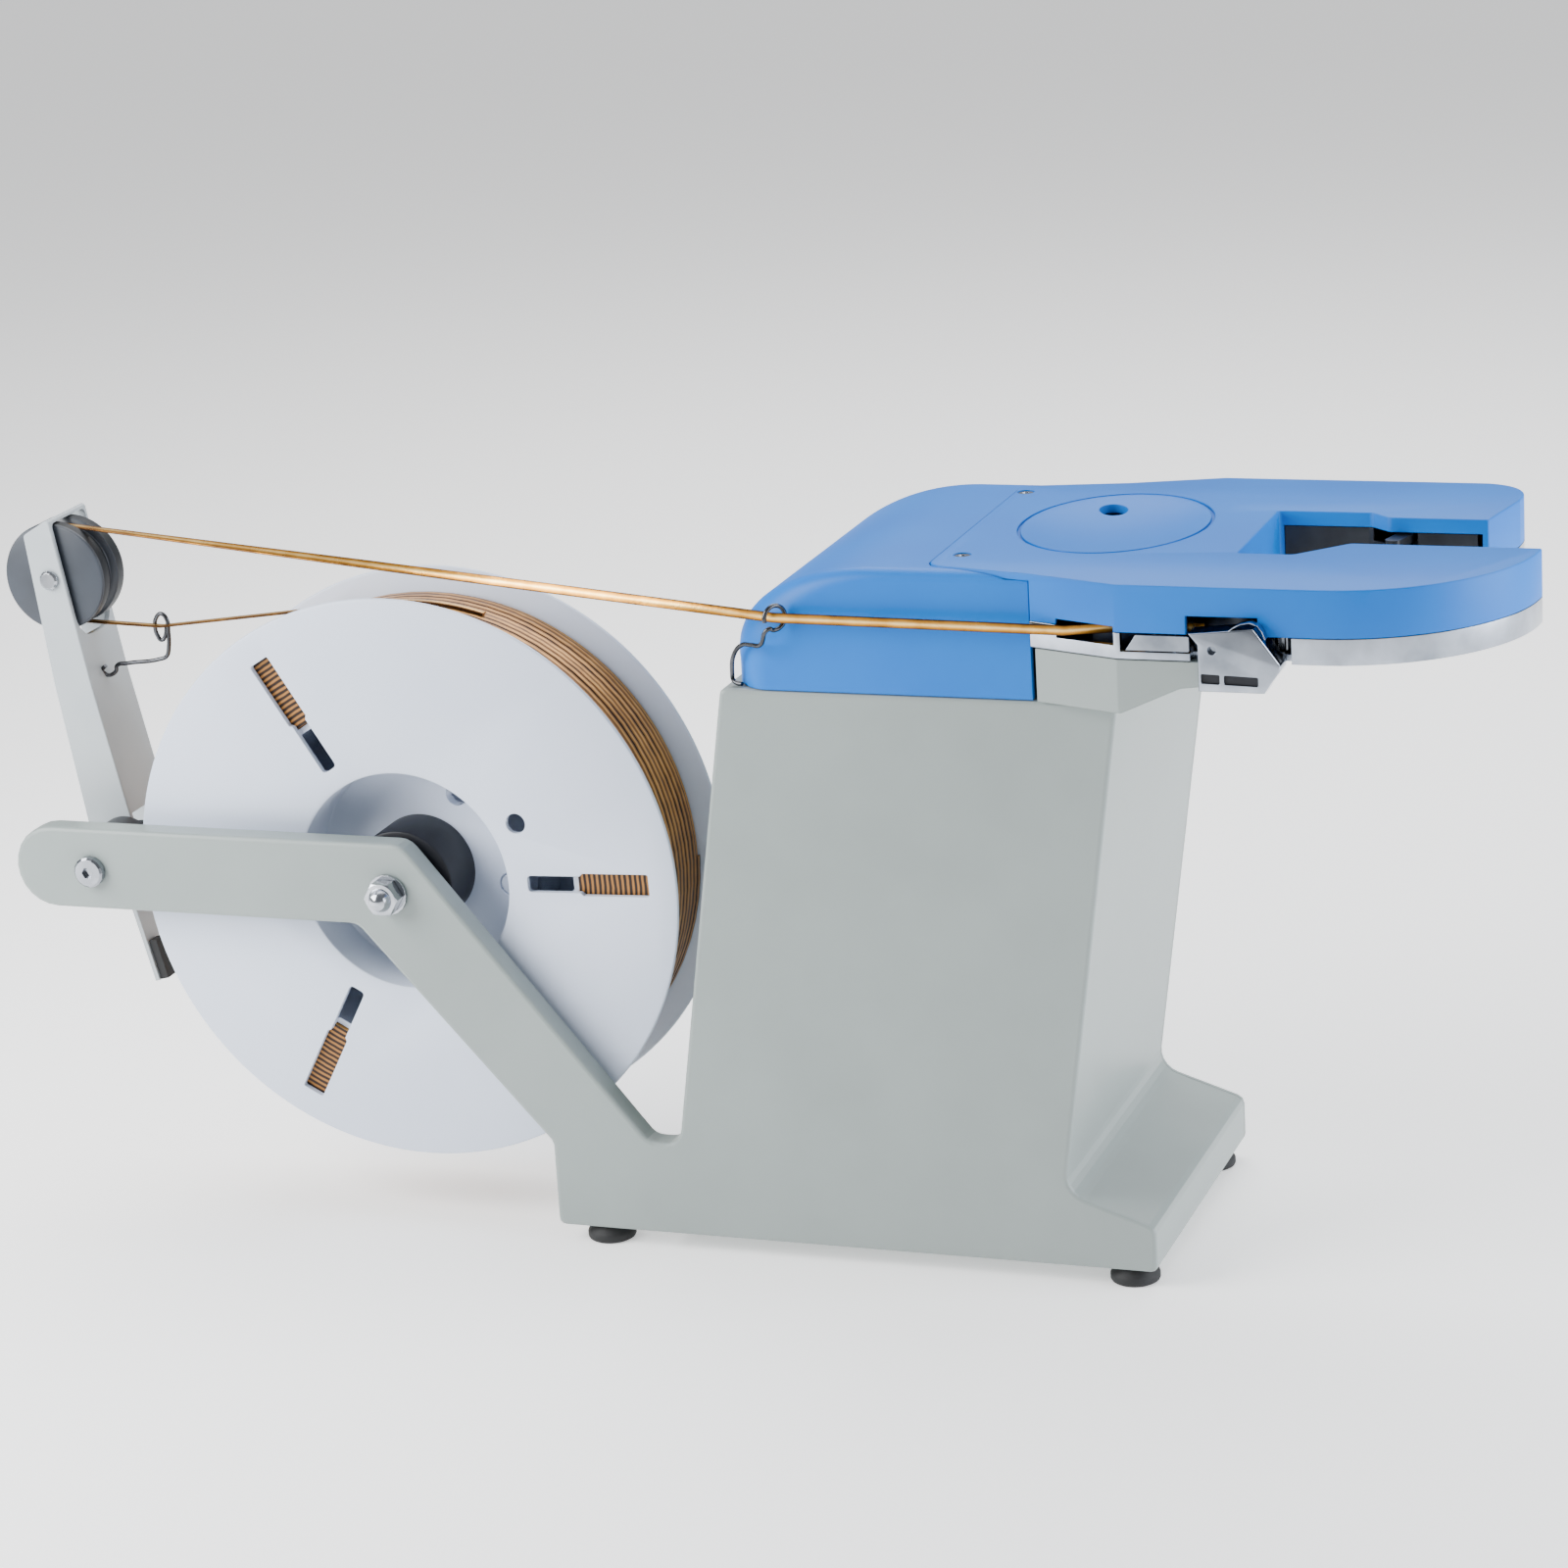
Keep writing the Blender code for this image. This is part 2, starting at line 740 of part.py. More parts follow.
ROLLER_RADIUS = ROLLER_PITCH - STRAND / 2 - GAP
ROLLER_FAR_Y = ROLLER_NEAR_Y + 2 * ROLLER_PITCH
STRAND_Y = ROLLER_NEAR_Y + ROLLER_PITCH
RACK_Y = NEEDLE_Y + MODULE * NEEDLE_HUB_TEETH / 2

STAND_CORNERS = [
    (BASE_REAR_X, FOOT_HEIGHT, CORNER_ROUND),
    (BASE_FRONT_X, FOOT_HEIGHT, CORNER_ROUND),
    (BASE_FRONT_X, TOE_TOP, TOE_ROUND),
    (COLUMN_TOE_X, COLUMN_TOE_Z, COLUMN_TOE_ROUND),
    (COLUMN_FRONT_X, COLUMN_TOP, CORNER_ROUND),
    (COLUMN_REAR_X, COLUMN_TOP, CORNER_ROUND),
    (CROTCH_FRONT_X, CROTCH_Z, CROTCH_ROUND),
    (CROTCH_REAR_X, CROTCH_Z, CROTCH_ROUND),
    (BEND_X, ARM_TOP, BEND_ROUND),
    (ARM_END_X, ARM_TOP, ARM_END_ROUND),
    (ARM_END_X, ARM_LOW, ARM_END_ROUND),
    (HEEL_X, ARM_LOW, HEEL_ROUND),
    (BASE_REAR_X, BASE_REAR_TOP, CORNER_ROUND),
]
COLUMN_CORNERS = [(COLUMN_BASE_X, FOOT_HEIGHT, CORNER_ROUND), *STAND_CORNERS[1:6]]
FORK_CORNERS = [
    (NECK_X, -NECK_STEP, 0),
    (SHOULDER_X, HEAD_NEAR_Y, 0),
    (NOSE_CORNER_X, HEAD_NEAR_Y, NOSE_ROUND),
    (NOSE_X, CHANNEL_NEAR_Y, TIP_ROUND),
    (TAPER_NEAR_X, CHANNEL_NEAR_Y, TAPER_ROUND),
    (POCKET_FRONT_X, POCKET_NEAR_Y, TAPER_ROUND),
    (POCKET_END_X, POCKET_NEAR_Y, POCKET_ROUND),
    (POCKET_END_X, POCKET_FAR_Y, POCKET_ROUND),
    (POCKET_FAR_X, POCKET_FAR_Y, TAPER_ROUND),
    (TAPER_FAR_X, CHANNEL_FAR_Y, TAPER_ROUND),
    (PRONG_TIP_X, CHANNEL_FAR_Y, TIP_ROUND),
    (PRONG_BULGE_X, PRONG_BULGE_Y, TAPER_ROUND),
    (PRONG_BULGE_X, HEAD_FAR_Y, PRONG_ROUND),
    (SHOULDER_X, HEAD_FAR_Y, 0),
    (NECK_X, WIDTH + NECK_STEP, 0),
]
HULL_CORNERS = FORK_CORNERS[:4] + FORK_CORNERS[10:]
SLOT_CORNERS = [
    (NOSE_X + HEAD_OVERHANG, CHANNEL_FAR_Y, 0),
    (TAPER_FAR_X, CHANNEL_FAR_Y, TAPER_ROUND),
    (POCKET_FAR_X, POCKET_FAR_Y, TAPER_ROUND),
    (POCKET_END_X, POCKET_FAR_Y, POCKET_ROUND),
    (POCKET_END_X, POCKET_NEAR_Y, POCKET_ROUND),
    (POCKET_FRONT_X, POCKET_NEAR_Y, TAPER_ROUND),
    (TAPER_NEAR_X, CHANNEL_NEAR_Y, TAPER_ROUND),
    (NOSE_X + HEAD_OVERHANG, CHANNEL_NEAR_Y, 0),
]


def grown_tongue(grow):
    side = NECK_X - TONGUE_X
    slant = (TONGUE_STEP + NECK_STEP) / side
    front = NECK_X + SINK
    return [
        (TONGUE_X - grow, TONGUE_STEP - grow, TONGUE_ROUND),
        (front, TONGUE_STEP - grow - slant * (front - TONGUE_X), 0),
        (front, WIDTH - TONGUE_STEP + grow + slant * (front - TONGUE_X), 0),
        (TONGUE_X - grow, WIDTH - TONGUE_STEP + grow, TONGUE_ROUND),
    ]


def slanted_y(x):
    """The near face of the head behind its shoulder."""
    return -NECK_STEP - (HEAD_OVERHANG - NECK_STEP) * (x - NECK_X) / (SHOULDER_X - NECK_X)


# Stand pieces


def make_casting(root, paint):
    outline = rounded(STAND_CORNERS)
    body = prism(outline, "Y", 0, WIDTH - SIDE_COVER)
    soften(body, EDGE_ROUND, lambda m, e: abs(m.y) < FINE)
    stand = finish(body, "body_casting", root, paint)
    holes = ((0, REEL_Z, SHAFT_THREAD), (LEVER_PIVOT_X, LEVER_PIVOT_Z, LEVER_BOLT_RADIUS))
    cut(stand, merge(*[rod("Y", x, z, r + GAP, -OVERRUN, WIDTH, 18) for x, z, r in holes]))
    lean = COLUMN_LEAN
    low = FOOT_HEIGHT - OVERRUN
    high = ARM_TOP + OVERRUN
    behind = [
        (COLUMN_BASE_X - lean * OVERRUN + GAP, low),
        (COLUMN_BASE_X + lean * (high - FOOT_HEIGHT) + GAP, high),
        (ARM_END_X - OVERRUN, high),
        (ARM_END_X - OVERRUN, low),
    ]
    cut(stand, prism(behind, "Y", PLATE, WIDTH))
    pocket = rounded(inset(COLUMN_CORNERS, STAND_WALL))
    cut(stand, prism(pocket, "Y", STAND_WALL, WIDTH))
    opening = (BELT_OPENING_X, SHAFT_Y - BELT_OPENING_HALF, COLUMN_TOP - STAND_WALL - OVERRUN)
    beyond = (BELT_OPENING_X + BELT_OPENING_LENGTH, SHAFT_Y + BELT_OPENING_HALF, COLUMN_TOP + OVERRUN)
    cut(stand, box(opening, beyond))
    pad = box(
        (REAR_FOOT_X - FOOT_PAD, PLATE - SINK, FOOT_HEIGHT),
        (REAR_FOOT_X + FOOT_PAD, FOOT_INSET + FOOT_PAD, FOOT_HEIGHT + FOOT_PAD_HEIGHT),
    )
    join(stand, pad)
    for x, y in ((NEAR_SCREW_X, NEAR_SCREW_Y), (FAR_SCREW_X, FAR_SCREW_Y)):
        top = HEAD_TOP - TONGUE_SHEET - GAP
        post = rod("Z", x, y, COVER_SCREW_RADIUS + SINK, COLUMN_TOP - SINK, top, 16)
        join(stand, post)
    return stand


def make_side_cover(root, paint):
    corners = rounded(COLUMN_CORNERS)
    plate = prism(corners, "Y", WIDTH - SIDE_COVER + GAP, WIDTH)
    soften(plate, SIDE_COVER / 4, lambda m, e: abs(m.y - WIDTH) < FINE, 1)
    cover = finish(plate, "side_cover", root, paint)
    for x, length, height in (
        (INLET_X, INLET_LENGTH, INLET_HEIGHT),
        (SWITCH_X, SWITCH_LENGTH, SWITCH_HEIGHT),
    ):
        half = Vector((length / 2 + GAP, SIDE_COVER + OVERRUN, height / 2 + GAP))
        middle = Vector((x, WIDTH, INLET_Z))
        cut(cover, box(middle - half, middle + half))
    return cover


def make_feet(root, paint):
    top = FOOT_HEIGHT - GAP
    profile = [(0, 0), (FOOT_RADIUS, 0), (FOOT_RADIUS, FOOT_HEIGHT / 2), (FOOT_WAIST, top), (0, top)]
    places = {
        "foot_rear_near": (REAR_FOOT_X, FOOT_INSET),
        "foot_front_near": (FRONT_FOOT_X, FOOT_INSET),
        "foot_rear_far": (FAR_REAR_FOOT_X, WIDTH - FOOT_INSET - SIDE_COVER),
        "foot_front_far": (FRONT_FOOT_X, WIDTH - FOOT_INSET - SIDE_COVER),
    }
    for name, centre in places.items():
        foot = turned(profile, "Z", centre, 16)
        finish(foot, name, root, paint)


def make_chin(root, paint):
    far = WIDTH + HEAD_OVERHANG
    plan = [
        (CHIN_REAR_X, slanted_y(CHIN_REAR_X), 0),
        (SHOULDER_X, HEAD_NEAR_Y, 0),
        (CHIN_FRONT_X, HEAD_NEAR_Y, 0),
        (CHIN_FRONT_X, far, 0),
        (SHOULDER_X, far, 0),
        (CHIN_REAR_X, WIDTH - slanted_y(CHIN_REAR_X), 0),
    ]
    body = prism(rounded(plan), "Z", COLUMN_TOP + GAP, CHIN_TOP)
    chin = finish(body, "head_chin", root, paint)
    under = [
        (CHIN_FLAT_X, COLUMN_TOP + GAP - FINE),
        (CHIN_FLAT_X, COLUMN_TOP - OVERRUN),
        (CHIN_FRONT_X + OVERRUN, COLUMN_TOP - OVERRUN),
        (CHIN_FRONT_X + OVERRUN, CHIN_TIP_Z),
        (CHIN_FRONT_X, CHIN_TIP_Z),
        (CHIN_LIP_X, CHIN_LIP_Z),
    ]
    cut(chin, prism(under, "Y", HEAD_NEAR_Y - OVERRUN, far + OVERRUN))
    low = COLUMN_TOP + CHIN_WALL
    hollow = inset([*plan[:2], (CHIN_POCKET_X, HEAD_NEAR_Y, 0), (CHIN_POCKET_X, far, 0), *plan[4:]], CHIN_WALL)
    cut(chin, prism(rounded(hollow), "Z", low, CHIN_TOP + OVERRUN))
    return chin


def make_base_plate(root, metal):
    body = prism(rounded(FORK_CORNERS), "Z", PLATE_LOW, PLATE_TOP)
    plate = finish(body, "base_plate", root, metal)
    tray = inset(HULL_CORNERS, PLATE_RIM)
    rear = NECK_X - OVERRUN
    tray[0] = (rear, tray[0][1], 0)
    tray[-1] = (rear, tray[-1][1], 0)
    cut(plate, prism(rounded(tray), "Z", PLATE_LOW + PLATE_FLOOR, PLATE_TOP + OVERRUN))
    floor = PLATE_LOW + PLATE_FLOOR
    entry = box((ENTRY_REAR_X, HEAD_NEAR_Y - OVERRUN, ENTRY_LOW), (ENTRY_FRONT_X, 0, ENTRY_HIGH))
    bay = box((BAY_REAR_X, HEAD_NEAR_Y - OVERRUN, BAY_LOW), (BAY_FRONT_X, 0, PLATE_TOP + OVERRUN))
    clamp = box(
        (CLAMP_TOP_REAR_X, HEAD_NEAR_Y - OVERRUN, PLATE_LOW - OVERRUN),
        (CLAMP_HEEL_X + OVERRUN, HEAD_NEAR_Y + CLAMP_DEPTH - CLAMP_STAND + GAP, PLATE_TOP + OVERRUN),
    )
    cam = box(
        (NECK_X - OVERRUN, CAM_SHAFT_Y - CAM_RADIUS - SINK, PLATE_LOW - OVERRUN),
        (CAM_SHAFT_FRONT_X + OVERRUN, CAM_SHAFT_Y + CAM_RADIUS + SINK, floor + OVERRUN),
    )
    cut(plate, entry, bay, clamp, cam)
    needle_post = rod("Z", NEEDLE_X, NEEDLE_Y, NEEDLE_POST, floor - SINK, NEEDLE_HIGH, 20)
    near_pin = rod("Z", ROLLER_X, ROLLER_NEAR_Y, ROLLER_PIN, floor - SINK, ROLLER_TOP, 14)
    far_pin = rod("Z", ROLLER_X, ROLLER_FAR_Y, ROLLER_PIN, floor - SINK, ROLLER_TOP, 14)
    trigger_post = rod("Z", TRIGGER_X, TRIGGER_Y, TRIGGER_POST, floor - SINK, TRIGGER_HIGH + SINK, 16)
    join(plate, needle_post, near_pin, far_pin, trigger_post)
    return plate


def cover_station(share, wall):
    """The crown and the side panel's edge, both inside the skin by wall, at an angle share."""
    angle = share * math.pi / 2
    crown = Vector((
        REAR_COVER_X + CROWN_REACH - (CROWN_REACH - wall) * math.cos(angle),
        CROWN_LOW + (HEAD_TOP - CROWN_LOW - wall) * math.sin(angle),
    ))
    panel = Vector((
        PANEL_X + PANEL_REACH - (PANEL_REACH - wall) * math.cos(angle),
        PANEL_LOW + (PANEL_TOP - PANEL_LOW - wall) * math.sin(angle),
    ))
    depth = SHOULDER_LOW + (SHOULDER_TOP - SHOULDER_LOW) * math.sin(angle)
    return crown, panel, depth


def cover_loft(wall, front, low):
    """The rear cover's skin: a vertical run, the crown's quarter turn, and a level run to the front."""
    stations = []
    crown, panel, depth = cover_station(0, wall)
    stations.append((Vector((crown.x, low)), Vector((panel.x, low)), depth))
    for k in range(REAR_COVER_STEPS + 1):
        stations.append(cover_station(k / REAR_COVER_STEPS, wall))
    crown, panel, depth = stations[-1]
    stations.append((Vector((front, crown.y)), Vector((front, panel.y)), depth))
    bm = bmesh.new()
    rows = []
    for crown, panel, depth in stations:
        near = []
        for k in range(SHOULDER_STEPS + 1):
            angle = math.pi / 2 * k / SHOULDER_STEPS
            place = panel + (crown - panel) * math.sin(angle)
            near.append(Vector((place.x, wall + depth * (1 - math.cos(angle)), place.y)))
        far = [Vector((p.x, WIDTH - p.y, p.z)) for p in reversed(near)]
        rows.append([bm.verts.new(p) for p in near + far])
    for one, two in zip(rows, rows[1:]):
        for i in range(len(one) - 1):
            bm.faces.new((one[i], one[i + 1], two[i + 1], two[i]))
    base = Vector((front, wall, low))
    corners = [bm.verts.new(base), bm.verts.new((front, WIDTH - wall, low))]
    bm.faces.new([row[0] for row in rows] + [corners[0]])
    bm.faces.new([row[-1] for row in rows] + [corners[1]])
    bm.faces.new(rows[0] + [corners[1], corners[0]])
    bm.faces.new(rows[-1] + [corners[1], corners[0]])
    bmesh.ops.recalc_face_normals(bm, faces=bm.faces)
    return bm


def make_rear_cover(root, paint):
    skin = cover_loft(0, NECK_X - GAP, COLUMN_TOP + GAP)
    cover = finish(skin, "rear_cover", root, paint)
    cut(cover, cover_loft(REAR_COVER_WALL, NECK_X + OVERRUN, COLUMN_TOP - OVERRUN))
    seam = rounded(grown_tongue(TONGUE_GAP))
    cut(cover, prism(seam, "Z", HEAD_TOP - TONGUE_SHEET - GAP, HEAD_TOP + OVERRUN))
    return cover


def bowl(wall, top):
    """A shallow dish turned about an upright axis and drawn out across the head."""
    reach = DISH_REACH_X + wall
    depth = DISH_DEPTH
    radius = (reach**2 + depth**2) / (2 * depth)
    steps = 4
    profile = [(0, top)]
    for k in range(steps + 1):
        r = reach * k / steps
        profile.append((r, HEAD_TOP - wall - depth + radius - math.sqrt(radius**2 - r**2)))
    profile.append((reach, top))
    shape = turned(profile, "Z", (DISH_X, DISH_Y), 28)
    stretch = Matrix.Diagonal((1, (DISH_REACH_Y + wall) / reach, 1, 1))
    centre = Vector((DISH_X, DISH_Y, 0))
    bmesh.ops.transform(shape, matrix=stretch, space=Matrix.Translation(-centre), verts=shape.verts)
    return shape


def make_front_cover(root, paint):
    tongue = [(TONGUE_X, WIDTH - TONGUE_STEP, TONGUE_ROUND), (TONGUE_X, TONGUE_STEP, TONGUE_ROUND)]
    body = prism(rounded(FORK_CORNERS + tongue), "Z", SKIRT_LOW, HEAD_TOP)
    soften(body, COVER_EDGE, lambda m, e: abs(m.z - HEAD_TOP) < FINE, 1)
    cover = finish(body, "front_cover", root, paint)
    under = box(
        (TONGUE_X - OVERRUN, -HEAD_OVERHANG, SKIRT_LOW - OVERRUN),
        (NECK_X + GAP, HEAD_FAR_Y, HEAD_TOP - TONGUE_SHEET),
    )
    rear = NECK_X - OVERRUN
    hall, attic = inset(HULL_CORNERS, COVER_WALL), inset(FORK_CORNERS, COVER_WALL + GAP)
    for corners in (hall, attic):
        corners[0] = (rear, corners[0][1], 0)
        corners[-1] = (rear, corners[-1][1], 0)
    hall = finish(prism(rounded(hall), "Z", SKIRT_LOW - OVERRUN, LIP_LOW), "front_cover_hall", root)
    end_wall = box(
        (POCKET_END_X - COVER_WALL, POCKET_NEAR_Y - OVERRUN, SKIRT_LOW - 2 * OVERRUN),
        (POCKET_END_X + OVERRUN, POCKET_FAR_Y + OVERRUN, LIP_LOW + OVERRUN),
    )
    cut(hall, end_wall)
    attic = prism(rounded(attic), "Z", LIP_LOW - SINK, HEAD_TOP - COVER_WALL)
    cut(cover, under, hall, attic)
    join(cover, bowl(COVER_WALL + SINK / 2, HEAD_TOP - SINK))
    cut(cover, bowl(0, HEAD_TOP + OVERRUN))
    low = LIP_LOW - DISH_DEPTH
    cut(cover, rod("Z", DISH_HOLE_X, DISH_HOLE_Y, DISH_HOLE_RADIUS, low, HEAD_TOP + OVERRUN, 20))
    inner = POCKET_END_X - COVER_WALL - OVERRUN
    hook = rod("X", SHAFT_Y, TWISTER_Z, TWISTER_SHAFT + 2 * SINK, inner, POCKET_END_X + OVERRUN, 14)
    entry = box((ENTRY_REAR_X, HEAD_NEAR_Y - OVERRUN, SKIRT_LOW - OVERRUN), (ENTRY_FRONT_X, 0, ENTRY_HIGH))
    clamp = box(
        (CLAMP_WINDOW_REAR_X, HEAD_NEAR_Y - OVERRUN, SKIRT_LOW - OVERRUN),
        (CLAMP_WINDOW_FRONT_X, HEAD_NEAR_Y + COVER_WALL + OVERRUN, CLAMP_WINDOW_HIGH),
    )
    cut(cover, hook, entry, clamp)
    for x, y in ((NEAR_SCREW_X, NEAR_SCREW_Y), (FAR_SCREW_X, FAR_SCREW_Y)):
        seat = rod("Z", x, y, COVER_SCREW_RADIUS + GAP, HEAD_TOP - COVER_SCREW_HEAD, HEAD_TOP + OVERRUN, 14)
        cut(cover, seat)
    return cover


def make_liner(root, paint):
    """The wall round the fork's slot, open where the needle and the trigger pass."""
    low = PLATE_LOW + PLATE_FLOOR + GAP
    high = LIP_LOW - GAP
    outer = prism(rounded(inset(SLOT_CORNERS, -LINER)), "Z", low, high)
    liner = finish(outer, "slot_liner", root, paint)
    cut(liner, prism(rounded(SLOT_CORNERS), "Z", low - OVERRUN, high + OVERRUN))
    middle = (CHANNEL_NEAR_Y + CHANNEL_FAR_Y) / 2
    beyond = NOSE_X + 2 * HEAD_OVERHANG
    far_end = PRONG_TIP_X - PLATE_RIM - LINER
    near_end = NOSE_X - PLATE_RIM - LINER
    cut(
        liner,
        box((far_end, middle, low - OVERRUN), (beyond, POCKET_FAR_Y + OVERRUN, HEAD_TOP)),
        box((near_end, POCKET_NEAR_Y - OVERRUN, low - OVERRUN), (beyond, middle + SINK, HEAD_TOP)),
        box((POCKET_END_X - COVER_WALL, 0, SKIRT_LOW - GAP), (POCKET_END_X + OVERRUN + GAP, WIDTH, HEAD_TOP)),
    )
    arm = NEEDLE_REACH + NEEDLE_TIP_WIDTH / 2
    front = NEEDLE_X + math.sqrt(arm**2 - (CHANNEL_NEAR_Y - NEEDLE_Y) ** 2) + SINK
    rear = POCKET_FRONT_X - NEEDLE_ROOT_WIDTH
    needle = box((rear, 0, NEEDLE_WINDOW_LOW), (front, CHANNEL_NEAR_Y + OVERRUN, NEEDLE_WINDOW_HIGH))
    share = (CHANNEL_FAR_Y - TRIGGER_REACH_Y) / (TRIGGER_Y - TRIGGER_REACH_Y)
    cross = TRIGGER_REACH_X + share * (TRIGGER_X - TRIGGER_REACH_X)
    swept = TRIGGER_WIDTH + TRIGGER_BOSS + TRIGGER_SLOT
    trigger = box(
        (cross - swept, CHANNEL_FAR_Y - OVERRUN, TRIGGER_LOW - TRIGGER_SLOT),
        (cross + TRIGGER_WIDTH, POCKET_FAR_Y + LINER + OVERRUN, TRIGGER_HIGH + TRIGGER_SLOT),
    )
    cut(liner, needle, trigger)


def make_clamp(root, metal):
    corners = [
        (CLAMP_LOW_X, CLAMP_LOW_Z, 0),
        (CLAMP_TOE_X, CLAMP_TOE_Z, 0),
        (CLAMP_HEEL_X, CLAMP_HEEL_Z, 0),
        (CLAMP_TOP_X, CLAMP_TOP_Z, 0),
        (CLAMP_TOP_REAR_X, CLAMP_TOP_REAR_Z, 0),
        (CLAMP_NECK_X, CLAMP_NECK_Z, 0),
        (CLAMP_NECK_X, CLAMP_LOW_Z, 0),
    ]
    outline = rounded(inset(corners, GAP))
    near = HEAD_NEAR_Y - CLAMP_STAND
    body = prism(outline, "Y", near, near + CLAMP_DEPTH)
    soften(body, CHIN_EDGE, lambda m, e: abs(m.y - near) < FINE, 1)
    clamp = finish(body, "feed_clamp", root, metal)
    chin = box(
        (CHIN_REAR_X, HEAD_NEAR_Y - GAP, COLUMN_TOP),
        (CHIN_FRONT_X + GAP, HEAD_NEAR_Y + CLAMP_DEPTH, PLATE_LOW - GAP),
    )
    skirt = box(
        (CLAMP_WINDOW_FRONT_X - GAP, HEAD_NEAR_Y - GAP, SKIRT_LOW - 2 * GAP),
        (CLAMP_HEEL_X, HEAD_NEAR_Y + CLAMP_DEPTH, HEAD_TOP),
    )
    cut(clamp, chin, skirt)
    for low, high in (
        (CLAMP_SLOT_REAR_X, CLAMP_SLOT_MIDDLE_X),
        (CLAMP_SLOT_MIDDLE_X + CLAMP_SLOT_HIGH - CLAMP_SLOT_LOW, CLAMP_SLOT_FRONT_X),
    ):
        cut(clamp, box((low, near - OVERRUN, CLAMP_SLOT_LOW), (high, near + CLAMP_STAND / 2, CLAMP_SLOT_HIGH)))
    deep = near + CLAMP_STAND / 2
    cut(clamp, rod("Y", CLAMP_HOLE_X, CLAMP_HOLE_Z, CLAMP_HOLE_RADIUS, near - OVERRUN, deep, 14))
    return clamp


def eyelet(centre, start, turn, facing, count=10):
    """A wire eye's points round a centre, from one angle through turn, in the upright plane at angle facing."""
    across = Vector((math.cos(facing), math.sin(facing), 0))
    points = []
    for k in range(count + 1):
        angle = start + turn * k / count
        reach = across * math.cos(angle) + Vector((0, 0, math.sin(angle)))
        points.append(Vector(centre) + EYE_RADIUS * reach)
    return points


def make_rear_guide(root, metal):
    top = COLUMN_TOP + GUIDE_WIRE + GAP
    lift = REAR_GUIDE_BEND_Z - top
    start = [
        (REAR_GUIDE_X + EYE_RADIUS / 2, REAR_GUIDE_Y - 2 * GUIDE_WIRE, top),
        (REAR_GUIDE_X, REAR_GUIDE_Y - GUIDE_WIRE, top),
        (REAR_GUIDE_X - 2 * GUIDE_WIRE, REAR_GUIDE_Y, top + GUIDE_WIRE),
        (REAR_GUIDE_X - 2 * GUIDE_WIRE, REAR_GUIDE_Y - GUIDE_WIRE, top + lift / 5),
        (REAR_GUIDE_X, REAR_GUIDE_Y / 2, top + lift * 2 / 3),
        (REAR_GUIDE_X + EYE_RADIUS, 0, REAR_GUIDE_BEND_Z - GUIDE_WIRE),
        (REAR_GUIDE_X + 2 * EYE_RADIUS, REAR_EYE_Y / 2, REAR_GUIDE_BEND_Z),
        (REAR_GUIDE_X + 3 * EYE_RADIUS, REAR_EYE_Y, REAR_GUIDE_BEND_Z + GUIDE_WIRE),
    ]
    bend = smooth_path(start, 2)
    centre = (REAR_EYE_X, REAR_EYE_Y, REAR_EYE_Z)
    eye = eyelet(centre, REAR_EYE_START, EYE_TURN, REAR_EYE_FACING)
    return tube(bend + eye, GUIDE_WIRE, "rear_wire_guide", root, metal, 1)


def make_reel_shaft(root, metal):
    near = -NUT_HEIGHT
    far = REEL_FAR_Y + KNOB_LENGTH + SINK
    profile = [
        (0, near),
        (SHAFT_THREAD, near),
        (SHAFT_THREAD, PLATE + GAP),
        (SHAFT_RADIUS, PLATE + GAP),
        (SHAFT_RADIUS, far - SINK),
        (SHAFT_RADIUS - SINK, far),
        (0, far),
    ]
    finish(turned(profile, "Y", (0, REEL_Z), 18), "reel_shaft", root, metal)
    ring = [
        (SHAFT_THREAD + GAP, -WASHER - GAP),
        (WASHER_RADIUS, -WASHER - GAP),
        (WASHER_RADIUS, -GAP),
        (SHAFT_THREAD + GAP, -GAP),
    ]
    finish(turned(ring, "Y", (0, REEL_Z), 18), "shaft_washer", root, metal)
    low = -WASHER - 2 * GAP - NUT_HEIGHT
    nut = rod("Y", 0, REEL_Z, NUT_ACROSS / 2 / math.cos(math.pi / 6), low, low + NUT_HEIGHT, 6)
    made = finish(nut, "shaft_nut", root, metal, math.radians(20))
    dome = [
        (0, low - NUT_CAP_HEIGHT),
        (NUT_CAP_RADIUS * 2 / 3, low - NUT_CAP_HEIGHT + NUT_CAP_RADIUS / 6),
        (NUT_CAP_RADIUS, low - NUT_CAP_HEIGHT / 2),
        (NUT_CAP_RADIUS, low + SINK),
        (0, low + SINK),
    ]
    join(made, turned(dome, "Y", (0, REEL_Z), 16))
    cut(made, rod("Y", 0, REEL_Z, SHAFT_THREAD + GAP, -NUT_HEIGHT - GAP, OVERRUN, 18))


# Reel pieces


def half_profile(near, sign):
    """A flange, its cup and its web, turned; sign points from the flange into the reel."""
    inner = near + sign * FLANGE
    web = near + sign * RECESS_DEPTH
    middle = REEL_MIDDLE_Y - sign * GAP / 2
    cup = RECESS_RADIUS + FLANGE
    return [
        (REEL_BORE, web),
        (RECESS_RADIUS, web),
        (RECESS_RADIUS, near + sign * FLANGE / 2),
        (RECESS_RADIUS + FLANGE / 2, near),
        (REEL_RADIUS - FLANGE / 3, near),
        (REEL_RADIUS, near + sign * FLANGE / 2),
        (REEL_RADIUS - FLANGE / 3, inner),
        (CORE_RADIUS, inner),
        (CORE_RADIUS, middle),
        (CORE_RADIUS - FLANGE, middle),
        (CORE_RADIUS - FLANGE, inner),
        (cup, inner),
        (cup, web + sign * WEB),
        (REEL_BORE, web + sign * WEB),
    ]


